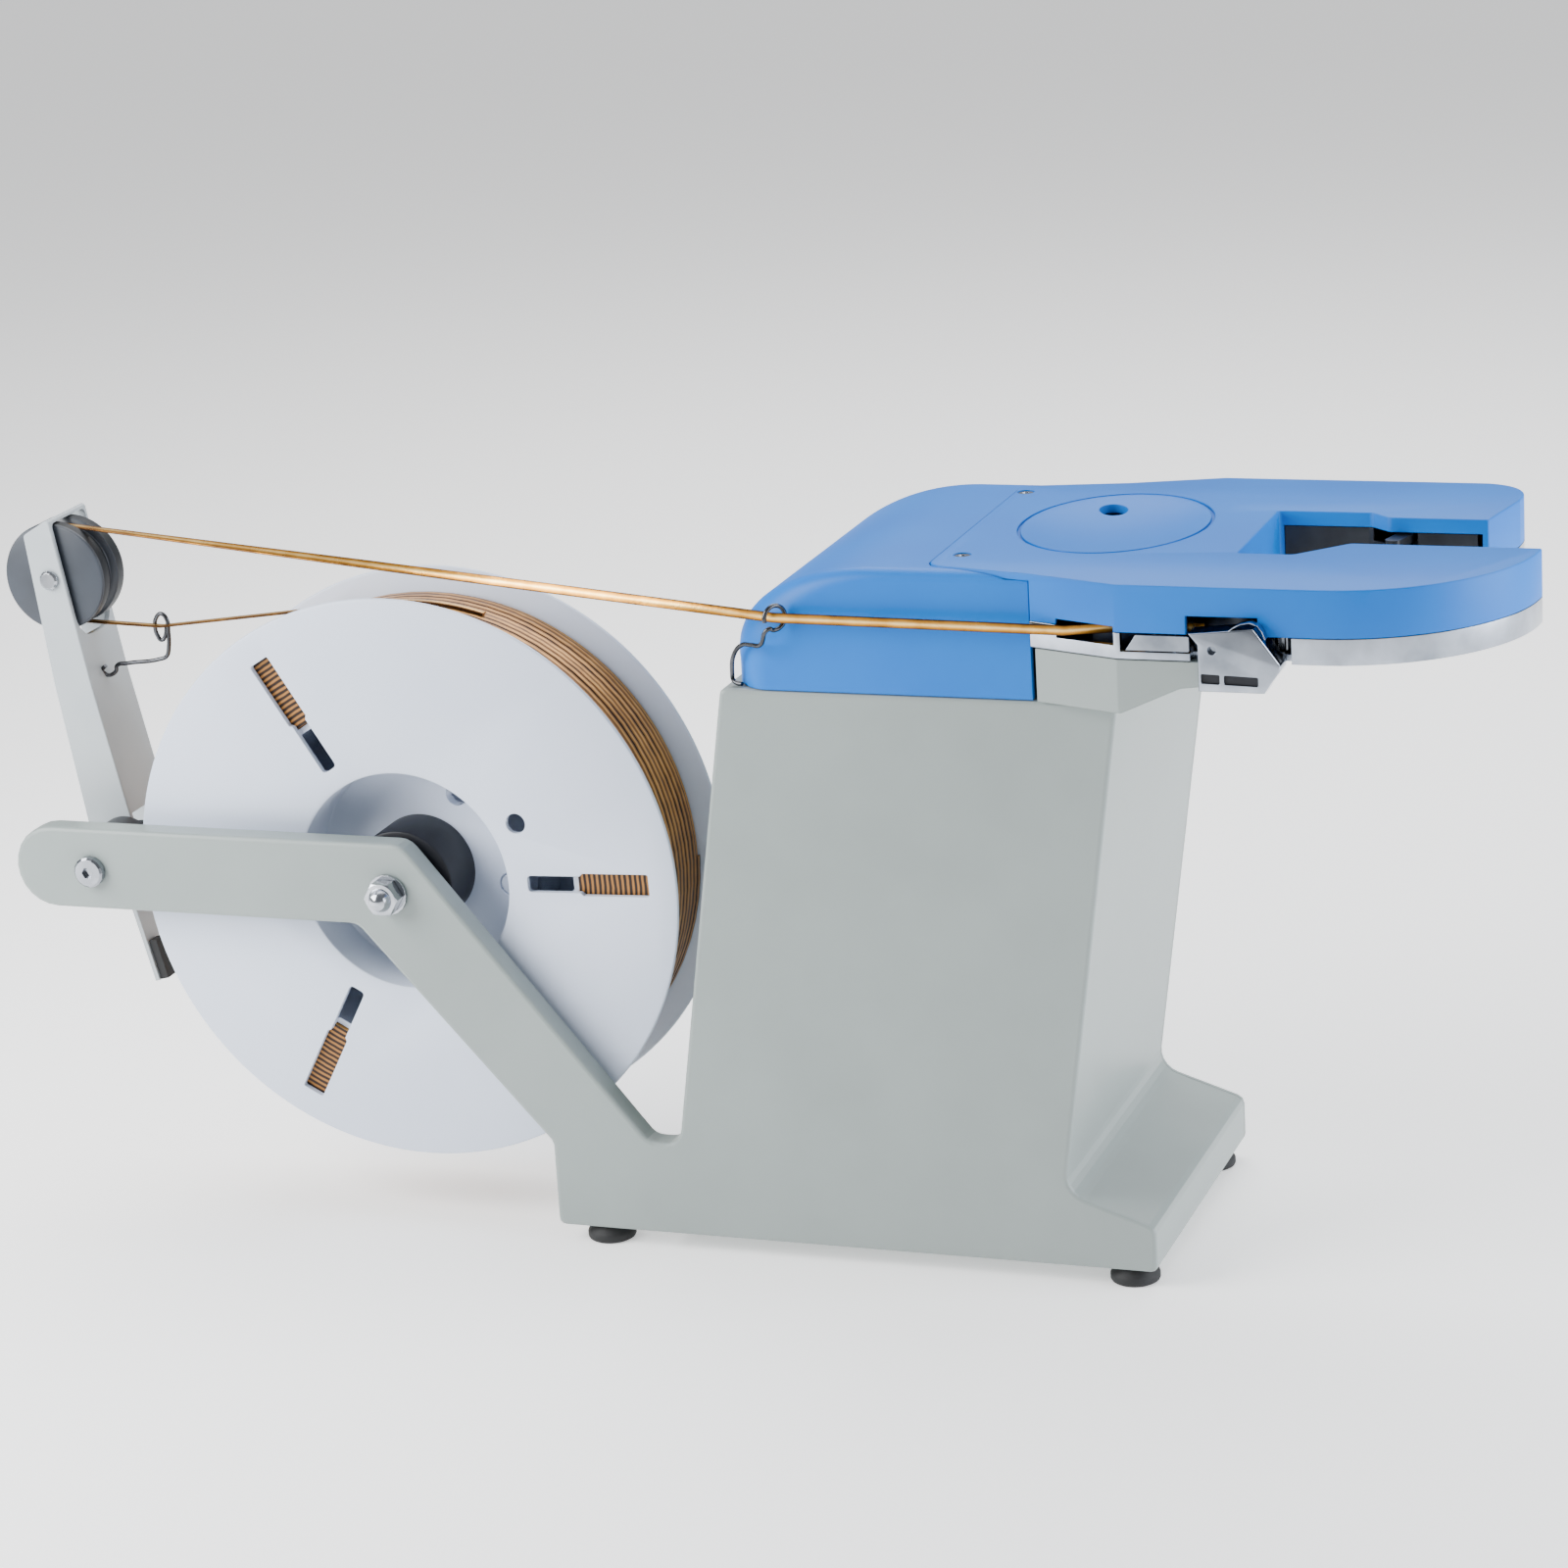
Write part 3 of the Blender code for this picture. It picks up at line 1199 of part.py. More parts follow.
def window_shape(angle, low, high):
    """A bottle-shaped opening: a narrow neck, a step, and a wider body."""
    neck = WINDOW_NECK / 2
    body = WINDOW_BODY / 2
    corners = [
        (WINDOW_INNER, -neck, neck / 2),
        (WINDOW_STEP, -neck, 0),
        (WINDOW_STEP + body - neck, -body, 0),
        (WINDOW_OUTER, -body, neck / 4),
        (WINDOW_OUTER, body, neck / 4),
        (WINDOW_STEP + body - neck, body, 0),
        (WINDOW_STEP, neck, 0),
        (WINDOW_INNER, neck, neck / 2),
    ]
    cosine, sine = math.cos(angle), math.sin(angle)
    outline = [(u * cosine - v * sine, REEL_Z + u * sine + v * cosine) for u, v in rounded(corners)]
    return prism(outline, "Y", low, high)


def make_reel(carrier, white, dark, tie):
    ends = (
        ("reel_near_half", REEL_NEAR_Y, 1),
        ("reel_far_half", REEL_FAR_Y, -1),
    )
    for name, near, sign in ends:
        half = finish(turned(half_profile(near, sign), "Y", (0, REEL_Z), REEL_SIDES), name, carrier, white)
        low, high = sorted((near - sign * OVERRUN, near + sign * (FLANGE + OVERRUN)))
        for k in range(3):
            cut(half, window_shape(math.radians(2) + math.tau * k / 3, low, high))
        low, high = sorted((near + sign * (RECESS_DEPTH - OVERRUN), near + sign * (RECESS_DEPTH + WEB + OVERRUN)))
        for k in range(3):
            angle = math.radians(62) + math.tau * k / 3
            u, v = WEB_HOLE_PLACE * math.cos(angle), REEL_Z + WEB_HOLE_PLACE * math.sin(angle)
            cut(half, rod("Y", u, v, WEB_HOLE_RADIUS, low, high, 12))
        angle = math.radians(28)
        u, v = FLANGE_HOLE_PLACE * math.cos(angle), REEL_Z + FLANGE_HOLE_PLACE * math.sin(angle)
        low, high = sorted((near - sign * OVERRUN, near + sign * (FLANGE + OVERRUN)))
        cut(half, rod("Y", u, v, FLANGE_HOLE_RADIUS, low, high, 12))
    low = REEL_NEAR_Y + FLANGE + GAP
    high = REEL_FAR_Y - FLANGE - GAP
    deep = (WINDING_RADIUS - STRAND) * math.cos(math.pi / LOOP_POINTS) - GAP
    core = [(CORE_RADIUS + GAP, low), (deep, low), (deep, high), (CORE_RADIUS + GAP, high)]
    finish(turned(core, "Y", (0, REEL_Z), REEL_SIDES), "tie_winding_core", carrier, tie)
    make_winding(carrier, tie)
    hub_back = REEL_FAR_Y - RECESS_DEPTH + GAP
    web = REEL_NEAR_Y + RECESS_DEPTH
    boss = REEL_BORE - GAP
    profile = [
        (SHAFT_RADIUS + GAP, HUB_FRONT_Y + HUB_DISH_DEPTH),
        (HUB_DISH_RADIUS - SINK, HUB_FRONT_Y + HUB_DISH_DEPTH),
        (HUB_DISH_RADIUS, HUB_FRONT_Y + SINK),
        (HUB_DISH_RADIUS + SINK, HUB_FRONT_Y),
        (HUB_RADIUS - SINK, HUB_FRONT_Y),
        (HUB_RADIUS, HUB_FRONT_Y + SINK),
        (HUB_RADIUS, web - GAP),
        (boss, web - GAP),
        (boss, hub_back),
        (SHAFT_RADIUS + GAP, hub_back),
    ]
    finish(turned(profile, "Y", (0, REEL_Z), 22), "reel_hub", carrier, dark)
    near = REEL_FAR_Y - RECESS_DEPTH + 2 * GAP
    far = REEL_FAR_Y + KNOB_LENGTH
    knob = [
        (SHAFT_RADIUS + GAP, near),
        (KNOB_WAIST, near),
        (KNOB_WAIST, REEL_FAR_Y + GAP),
        (HUB_RADIUS, REEL_FAR_Y + 2 * GAP),
        (HUB_RADIUS, far - OVERRUN),
        (HUB_RADIUS - OVERRUN, far),
        (SHAFT_RADIUS + GAP, far),
    ]
    made = finish(turned(knob, "Y", (0, REEL_Z), 20), "reel_lock_knob", carrier, dark)
    for k in range(KNOB_FLUTES):
        angle = math.tau * (k + 1 / 2) / KNOB_FLUTES
        reach = HUB_RADIUS + KNOB_FLUTE_RADIUS / 2
        u, v = reach * math.cos(angle), REEL_Z + reach * math.sin(angle)
        cut(made, rod("Y", u, v, KNOB_FLUTE_RADIUS, REEL_FAR_Y + OVERRUN, far + OVERRUN, 8))


def make_winding(carrier, tie):
    """The outer layer of the reel's tie: one unbroken helix of flat strand."""
    low = REEL_NEAR_Y + FLANGE + GAP + STRAND_WIDTH / 2
    high = REEL_FAR_Y - FLANGE - GAP - STRAND_WIDTH / 2
    pitch = (high - low) / WINDING_TURNS
    radius = WINDING_RADIUS - STRAND / 2
    points = []
    for k in range(WINDING_TURNS * LOOP_POINTS + 1):
        angle = math.tau * k / LOOP_POINTS
        y = low + pitch * k / LOOP_POINTS
        points.append(Vector((radius * math.cos(angle), y, REEL_Z + radius * math.sin(angle))))
    side = Vector((0, STRAND_WIDTH, 0))
    finish(ribbon(points, [side] * len(points), STRAND), "tie_winding", carrier, tie)
    steps = range(len(points) - LOOP_POINTS)
    gap = min((points[i + LOOP_POINTS] - points[i]).length for i in steps) - STRAND_WIDTH
    print(f"tie_winding: least gap between turns {gap * 1000:.2f} mm")


# Tension lever pieces


def between(low, high, share):
    return low + (high - low) * share


def lever_shape(grow_rear, sheet):
    """The lever's side outline; sheet moves its front and top edges inwards for the channel's inside."""
    return [
        (LEVER_FOOT_REAR_X - grow_rear, LEVER_FOOT_Z - grow_rear, 0),
        (LEVER_FOOT_FRONT_X - sheet, LEVER_FOOT_Z - grow_rear, 0),
        (LEVER_WAIST_FRONT_X - sheet, LEVER_WAIST_Z, 0),
        (LEVER_SHOULDER_FRONT_X - sheet, LEVER_SHOULDER_Z, 0),
        (LEVER_TOP_FRONT_X - sheet, LEVER_TOP_FRONT_Z - sheet, 0),
        (LEVER_TOP_X - grow_rear, LEVER_TOP_Z - sheet, 0),
        (LEVER_SHOULDER_REAR_X - grow_rear, LEVER_SHOULDER_Z, 0),
        (LEVER_WAIST_REAR_X - grow_rear, LEVER_WAIST_Z, 0),
    ]


def front_x(z):
    """The lever's front face at a height between its waist and its top."""
    if z < LEVER_SHOULDER_Z:
        share = (z - LEVER_WAIST_Z) / (LEVER_SHOULDER_Z - LEVER_WAIST_Z)
        return between(LEVER_WAIST_FRONT_X, LEVER_SHOULDER_FRONT_X, share)
    share = (z - LEVER_SHOULDER_Z) / (LEVER_TOP_FRONT_Z - LEVER_SHOULDER_Z)
    return between(LEVER_SHOULDER_FRONT_X, LEVER_TOP_FRONT_X, share)


def strip_corners(depth_front, depth_back, low_share=0.0, high_share=1.0):
    """Four corners of a band along the brake tongue, at depths square to it."""
    tip = Vector((TONGUE_TIP_X, TONGUE_TIP_Z))
    root = Vector((TONGUE_ROOT_X, LEVER_FOOT_Z + LEVER_FOLD))
    along = root - tip
    out = Vector((along.y, -along.x)).normalized()
    low, high = tip + along * low_share, tip + along * high_share
    return [low + out * depth_back, low + out * depth_front, high + out * depth_front, high + out * depth_back]


def make_lever(carrier, paint, metal, rubber):
    outline = rounded([(u, v, LEVER_FOLD / 2) for u, v, _ in lever_shape(0, 0)])
    body = prism(outline, "Y", LEVER_NEAR_Y, LEVER_FAR_Y)

    def outside_fold(middle, edge):
        flat = abs(edge.verts[0].co.y - edge.verts[1].co.y) < FINE
        return flat and middle.x > front_x(middle.z) - LEVER_FOLD

    soften(body, LEVER_FOLD / 2, outside_fold, 1)
    lever = finish(body, "tension_lever", carrier, paint)
    inside = rounded(lever_shape(LEVER_FOLD, LEVER_SHEET))
    cut(lever, prism(inside, "Y", LEVER_NEAR_Y + LEVER_SHEET, LEVER_FAR_Y - LEVER_SHEET))
    notch_near = LEVER_NEAR_Y + LEVER_SHEET
    notch_far = LEVER_FAR_Y - LEVER_SHEET
    hood = LEVER_TOP_FRONT_Z - LEVER_HOOD_LIP
    notch = [
        (notch_near, LEVER_WEB_TOP_Z, LEVER_NOTCH_ROUND),
        (notch_far, LEVER_WEB_TOP_Z, LEVER_NOTCH_ROUND),
        (notch_far, hood, LEVER_SHEET),
        (notch_near, hood, LEVER_SHEET),
    ]
    cut(lever, prism(rounded(notch), "X", LEVER_TOP_X, LEVER_WAIST_FRONT_X))
    roof = (LEVER_TOP_FRONT_X - LEVER_HOOD, notch_far, LEVER_TOP_FRONT_Z + OVERRUN)
    cut(lever, box((LEVER_TOP_X - OVERRUN, notch_near, LEVER_WEB_TOP_Z), roof))
    under = (LEVER_WAIST_FRONT_X + LEVER_FOLD, notch_far, LEVER_WEB_FOOT_Z)
    cut(lever, box((LEVER_WAIST_REAR_X, notch_near, LEVER_FOOT_Z - OVERRUN), under))
    for low in (LEVER_NEAR_Y, LEVER_FAR_Y - LEVER_SHEET):
        high = low + LEVER_SHEET - FINE
        join(lever, rod("Y", LEVER_PIVOT_X, LEVER_PIVOT_Z, LEVER_EAR_RADIUS, low + FINE, high, 20))
    strip = prism(strip_corners(0, -LEVER_SHEET), "Y", LEVER_NEAR_Y + SINK, LEVER_FAR_Y - SINK)
    taper = [
        (LEVER_NEAR_Y + TONGUE_TIP_WIDTH, TONGUE_TIP_Z - OVERRUN),
        (LEVER_FAR_Y + OVERRUN, TONGUE_TIP_Z - OVERRUN),
        (LEVER_FAR_Y + OVERRUN, LEVER_FOOT_Z - LEVER_SHEET),
        (LEVER_NEAR_Y + TONGUE_WIDTH, LEVER_FOOT_Z - LEVER_SHEET),
    ]
    cut(join(lever, strip), prism(taper, "X", LEVER_WAIST_REAR_X, TONGUE_TIP_X + OVERRUN))
    low, high = LEVER_NEAR_Y - OVERRUN, LEVER_FAR_Y + OVERRUN
    bolt = rod("Y", LEVER_PIVOT_X, LEVER_PIVOT_Z, LEVER_BOLT_RADIUS + GAP, low, high, 20)
    axle = rod("Y", PULLEY_X, PULLEY_Z, PULLEY_AXLE_RADIUS + GAP, low, high, 16)
    cut(lever, bolt, axle)
    share = BRAKE_PAD_HEIGHT / (LEVER_FOOT_Z - TONGUE_TIP_Z)
    pad = prism(
        strip_corners(GAP + BRAKE_PAD, GAP, SINK, share),
        "Y",
        LEVER_NEAR_Y + 2 * SINK,
        LEVER_NEAR_Y + TONGUE_TIP_WIDTH,
    )
    finish(pad, "brake_pad", carrier, rubber)
    reach = LEVER_NEAR_Y - PULLEY_SCREW_HEAD - GAP
    profile = [
        (0, reach),
        (PULLEY_SCREW_RADIUS - PULLEY_SCREW_HEAD / 2, reach),
        (PULLEY_SCREW_RADIUS, reach + PULLEY_SCREW_HEAD / 2),
        (PULLEY_SCREW_RADIUS, LEVER_NEAR_Y - GAP),
        (PULLEY_AXLE_RADIUS, LEVER_NEAR_Y - GAP),
        (PULLEY_AXLE_RADIUS, LEVER_FAR_Y + GAP),
        (PULLEY_SCREW_RADIUS, LEVER_FAR_Y + GAP),
        (PULLEY_SCREW_RADIUS, LEVER_FAR_Y + GAP + PULLEY_SCREW_HEAD),
        (0, LEVER_FAR_Y + GAP + PULLEY_SCREW_HEAD),
    ]
    finish(turned(profile, "Y", (PULLEY_X, PULLEY_Z), 16), "pulley_axle", carrier, metal)
    make_lever_guide(carrier, metal)


def make_lever_guide(carrier, metal):
    x = front_x(LEVER_GUIDE_Z) + 2 * GUIDE_WIRE
    y = LEVER_GUIDE_Y
    z = LEVER_GUIDE_Z
    start = [
        (x, y - EYE_RADIUS, z + GUIDE_WIRE),
        (x, y - EYE_RADIUS - GUIDE_WIRE, z - EYE_RADIUS / 2),
        (x + GUIDE_WIRE, y - EYE_RADIUS / 2, z - EYE_RADIUS),
        (x + 2 * GUIDE_WIRE, y, z - EYE_RADIUS / 2),
        (x + 3 * GUIDE_WIRE, y, z + GUIDE_WIRE),
        ((x + LEVER_GUIDE_REACH_X) / 2, y, z + 2 * GUIDE_WIRE),
        (LEVER_GUIDE_REACH_X - GUIDE_WIRE, y, z + 3 * GUIDE_WIRE),
        (LEVER_GUIDE_REACH_X + GUIDE_WIRE, y, z + EYE_RADIUS),
        (LEVER_GUIDE_REACH_X + GUIDE_WIRE, y, LEVER_EYE_Z - 2 * EYE_RADIUS),
    ]
    bend = smooth_path(start, 2)
    centre = (LEVER_GUIDE_REACH_X, y, LEVER_EYE_Z)
    eye = eyelet(centre, LEVER_EYE_START, EYE_TURN, LEVER_EYE_FACING)
    return tube(bend[:-1] + eye, GUIDE_WIRE, "lever_wire_guide", carrier, metal, 1)


def make_lever_pivot(root, metal, dark):
    head = -BOLT_HEAD - GAP
    far = LEVER_FAR_Y + 2 * BOLT_HEAD
    profile = [
        (0, head),
        (BOLT_HEAD_RADIUS - BOLT_HEAD / 4, head),
        (BOLT_HEAD_RADIUS, head + BOLT_HEAD / 4),
        (BOLT_HEAD_RADIUS, -GAP),
        (LEVER_BOLT_RADIUS, -GAP),
        (LEVER_BOLT_RADIUS, LEVER_FAR_Y + GAP),
        (BOLT_HEAD_RADIUS, LEVER_FAR_Y + GAP),
        (BOLT_HEAD_RADIUS, far),
        (0, far),
    ]
    bolt = finish(turned(profile, "Y", (LEVER_PIVOT_X, LEVER_PIVOT_Z), 16), "lever_pivot_bolt", root, metal)
    across = BOLT_SOCKET_ACROSS / 2 / math.cos(math.pi / 6)
    socket = rod("Y", LEVER_PIVOT_X, LEVER_PIVOT_Z, across, head - OVERRUN, head + BOLT_SOCKET_DEPTH, 6)
    cut(bolt, socket)
    low, high = PLATE + GAP, LEVER_NEAR_Y - GAP
    ring = [
        (LEVER_BOLT_RADIUS + GAP, low),
        (LEVER_BUSH_RADIUS, low),
        (LEVER_BUSH_RADIUS, high - OVERRUN),
        (LEVER_BUSH_RADIUS - OVERRUN, high),
        (LEVER_BOLT_RADIUS + GAP, high),
    ]
    finish(turned(ring, "Y", (LEVER_PIVOT_X, LEVER_PIVOT_Z), 20), "lever_bush", root, dark)


def make_lever_spring(root, metal):
    """A torsion spring round the pivot bolt; its long leg bears on the back of the tongue."""
    low = LEVER_NEAR_Y + LEVER_SHEET + LEVER_FOLD
    pitch = 3 * LEVER_SPRING_WIRE
    count = 8
    radius = LEVER_BOLT_RADIUS + GAP + LEVER_SPRING_WIRE * 2
    points = []
    for k in range(LEVER_SPRING_CURLS * count + 1):
        angle = math.pi + math.tau * k / count
        y = low + pitch * k / count
        place = Vector((LEVER_PIVOT_X, y, LEVER_PIVOT_Z))
        points.append(place + radius * Vector((math.cos(angle), 0, math.sin(angle))))
    last = points[-1]
    knee = Vector((LEVER_PIVOT_X - LEVER_SPRING_RADIUS, last.y, LEVER_FOOT_Z + LEVER_FOLD))
    points += [last.lerp(knee, 1 / 2), knee, knee + Vector((LEVER_SHEET, 0, -2 * LEVER_SPRING_RADIUS))]
    return tube(points, LEVER_SPRING_WIRE, "lever_spring", root, metal, 1)


def make_pulley(carrier, dark):
    near = PULLEY_NEAR_Y
    far = near + PULLEY_WIDTH
    middle = PULLEY_MIDDLE_Y
    groove = PULLEY_RADIUS - PULLEY_GROOVE
    half = PULLEY_GROOVE_WIDTH / 2
    bore = PULLEY_AXLE_RADIUS + GAP
    profile = [
        (bore, near + SINK),
        (PULLEY_BOSS_RADIUS, near + SINK),
        (PULLEY_BOSS_RADIUS, near + PULLEY_DISH),
        (PULLEY_DISH_RADIUS, near + PULLEY_DISH),
        (PULLEY_DISH_RADIUS + PULLEY_DISH, near),
        (PULLEY_RADIUS - SINK, near),
        (PULLEY_RADIUS, near + SINK),
        (PULLEY_RADIUS, middle - half - SINK),
        (groove, middle - half),
        (groove, middle + half),
        (PULLEY_RADIUS, middle + half + SINK),
        (PULLEY_RADIUS, far - SINK),
        (PULLEY_RADIUS - SINK, far),
        (PULLEY_BOSS_RADIUS, far),
        (PULLEY_BOSS_RADIUS, LEVER_FAR_Y - LEVER_SHEET - GAP),
        (bore, LEVER_FAR_Y - LEVER_SHEET - GAP),
    ]
    finish(turned(profile, "Y", (PULLEY_X, PULLEY_Z), 24), "lever_pulley", carrier, dark)


# Strand


def make_strand(root, tie):
    """The tie from the winding through the lever's eye, round its pulley and into the head."""
    centre = Vector((0, 0, REEL_Z))
    wound = WINDING_RADIUS + GAP + STRAND / 2
    flat_y = PULLEY_MIDDLE_Y
    eye = Vector((LEVER_GUIDE_REACH_X, LEVER_GUIDE_Y, LEVER_EYE_Z))
    reach = math.hypot(eye.x, eye.z - REEL_Z)
    leave = math.atan2(eye.z - REEL_Z, eye.x) - math.acos(wound / reach)
    start = leave - math.radians(24)
    points, sides = [], []
    flat = Vector((0, 1, 0))
    for k in range(5):
        angle = start + (leave - start) * k / 4
        points.append(centre + Vector((wound * math.cos(angle), flat_y, wound * math.sin(angle))))
        sides.append(flat)
    tangent = points[-1]
    points.append(tangent.lerp(eye, 1 / 3))
    points.append(tangent.lerp(eye, 2 / 3))
    points.append(eye)
    sides += [flat] * 3
    hub = Vector((PULLEY_X, flat_y, PULLEY_Z))
    round_radius = PULLEY_RADIUS - PULLEY_GROOVE + GAP + STRAND / 2
    run = math.hypot(eye.x - hub.x, eye.z - hub.z)
    low = math.atan2(eye.z - hub.z, eye.x - hub.x) - math.acos(round_radius / run)
    head = Vector((REAR_EYE_X, REAR_EYE_Y, REAR_EYE_Z))
    run = math.hypot(head.x - hub.x, head.z - hub.z)
    high = math.atan2(head.z - hub.z, head.x - hub.x) + math.acos(round_radius / run)
    turns = 12
    for k in range(turns + 1):
        angle = low - (math.tau - high + low) * k / turns
        points.append(hub + Vector((round_radius * math.cos(angle), 0, round_radius * math.sin(angle))))
        sides.append(flat)
    last = points[-1]
    spans = 10
    for k in range(1, spans + 1):
        points.append(last.lerp(head, k / spans))
        twist = math.pi / 2 * k / spans
        sides.append(Vector((0, math.cos(twist), math.sin(twist))))
    upright = Vector((0, 0, 1))
    inlet = Vector((ENTRY_X, slanted_y(ENTRY_X), ENTRY_Z))
    rollers = Vector((ROLLER_X, STRAND_Y, ENTRY_Z))
    before = Vector((ROLLER_X - 2 * ROLLER_RADIUS, STRAND_Y, ENTRY_Z))
    for place in (head.lerp(inlet, 1 / 2), inlet, before, rollers, rollers + (rollers - before)):
        points.append(place)
        sides.append(upright)
    shape = ribbon(points, [side * STRAND_WIDTH for side in sides], STRAND)
    return finish(shape, "tie_strand", root, tie)


# Drive pieces


def meshed(towards, teeth, tooth):
    """The turn that puts a tooth, or a space, of a gear towards its partner."""
    return towards - (math.pi / teeth if tooth else 0)


def bored_gear(name, carrier, metal, centre, teeth, low, high, shaft, turn):
    made = finish(gear("X", centre, teeth, MODULE, low, high, turn), name, carrier, metal)
    cut(made, rod("X", centre[0], centre[1], shaft + GAP, low - OVERRUN, high + OVERRUN, 12))
    return made


def flanged_pulley(name, carrier, metal, centre, radius, shaft):
    low = BELT_X - BELT_WIDTH / 2 - BELT_FLANGE_WIDTH - GAP
    high = BELT_X + BELT_WIDTH / 2 + BELT_FLANGE_WIDTH + GAP
    rim = radius + BELT_FLANGE
    profile = [
        (shaft + GAP, low),
        (rim, low),
        (rim, low + BELT_FLANGE_WIDTH),
        (radius, low + BELT_FLANGE_WIDTH),
        (radius, high - BELT_FLANGE_WIDTH),
        (rim, high - BELT_FLANGE_WIDTH),
        (rim, high),
        (shaft + GAP, high),
    ]
    return finish(turned(profile, "X", centre, 16), name, carrier, metal)


def belt_outline(grow):
    """Two arcs and their tangents round the belt's pulleys."""
    big = MAIN_PULLEY_RADIUS + GAP + grow
    small = MOTOR_PULLEY_RADIUS + GAP + grow
    slope = math.asin((big - small) / (SHAFT_Z - MOTOR_Z))
    outline = []
    count = 14
    for k in range(count + 1):
        angle = -slope + (math.pi + 2 * slope) * k / count
        outline.append((SHAFT_Y + big * math.cos(angle), SHAFT_Z + big * math.sin(angle)))
    for k in range(count + 1):
        angle = math.pi + slope + (math.pi - 2 * slope) * k / count
        outline.append((SHAFT_Y + small * math.cos(angle), MOTOR_Z + small * math.sin(angle)))
    return outline


def make_motor(root, rotor, dark, metal, rubber):
    low, high = MOTOR_REAR_X, MOTOR_REAR_X + MOTOR_LENGTH
    cap = MOTOR_RADIUS - SINK
    profile = [
        (MOTOR_SHAFT + GAP, low - MOTOR_BOSS_LENGTH),
        (MOTOR_BOSS, low - MOTOR_BOSS_LENGTH),
        (MOTOR_BOSS, low),
        (cap, low),
        (MOTOR_RADIUS, low + SINK),
        (MOTOR_RADIUS, high - SINK),
        (cap, high),
        (0, high),
        (0, low + MOTOR_BOSS),
        (MOTOR_SHAFT + GAP, low + MOTOR_BOSS),
    ]
    centre = (SHAFT_Y, MOTOR_Z)
    finish(turned(profile, "X", centre, 18), "motor", root, dark)
    shaft = rod("X", *centre, MOTOR_SHAFT, MOTOR_SHAFT_REAR_X, low + MOTOR_BOSS - GAP, 16)
    finish(shaft, "motor_shaft", rotor, metal)
    flanged_pulley("motor_pulley", rotor, metal, centre, MOTOR_PULLEY_RADIUS, MOTOR_SHAFT)
    front = low - GAP
    plate = box(
        (front - BRACKET, SHAFT_Y - BRACKET_HALF, MOTOR_Z - BRACKET_HALF),
        (front, SHAFT_Y + BRACKET_HALF, COLUMN_TOP - STAND_WALL - GAP),
    )
    bracket = finish(plate, "motor_bracket", root, metal)
    foot = box(
        (front - SINK, SHAFT_Y - BRACKET_HALF, COLUMN_TOP - STAND_WALL - GAP - BRACKET),
        (front + BRACKET_FOOT, SHAFT_Y + BRACKET_HALF, COLUMN_TOP - STAND_WALL - GAP),
    )
    join(bracket, foot)
    cut(bracket, rod("X", *centre, MOTOR_BOSS + GAP, front - BRACKET - OVERRUN, front + OVERRUN, 24))
    belt = prism(belt_outline(BELT), "X", BELT_X - BELT_WIDTH / 2, BELT_X + BELT_WIDTH / 2)
    belt = finish(belt, "drive_belt", root, rubber)
    cut(belt, prism(belt_outline(0), "X", BELT_X - BELT_WIDTH, BELT_X + BELT_WIDTH))


def bearing_block(name, root, paint, low, high, near, far, top, base, bores):
    outline = [
        (near, base, 0),
        (far, base, 0),
        (far, top, BLOCK_ROUND),
        (near, top, BLOCK_ROUND),
    ]
    made = finish(prism(rounded(outline), "X", low, high), name, root, paint)
    for y, z, radius in bores:
        cut(made, rod("X", y, z, radius + GAP, low - OVERRUN, high + OVERRUN, 12))
    return made


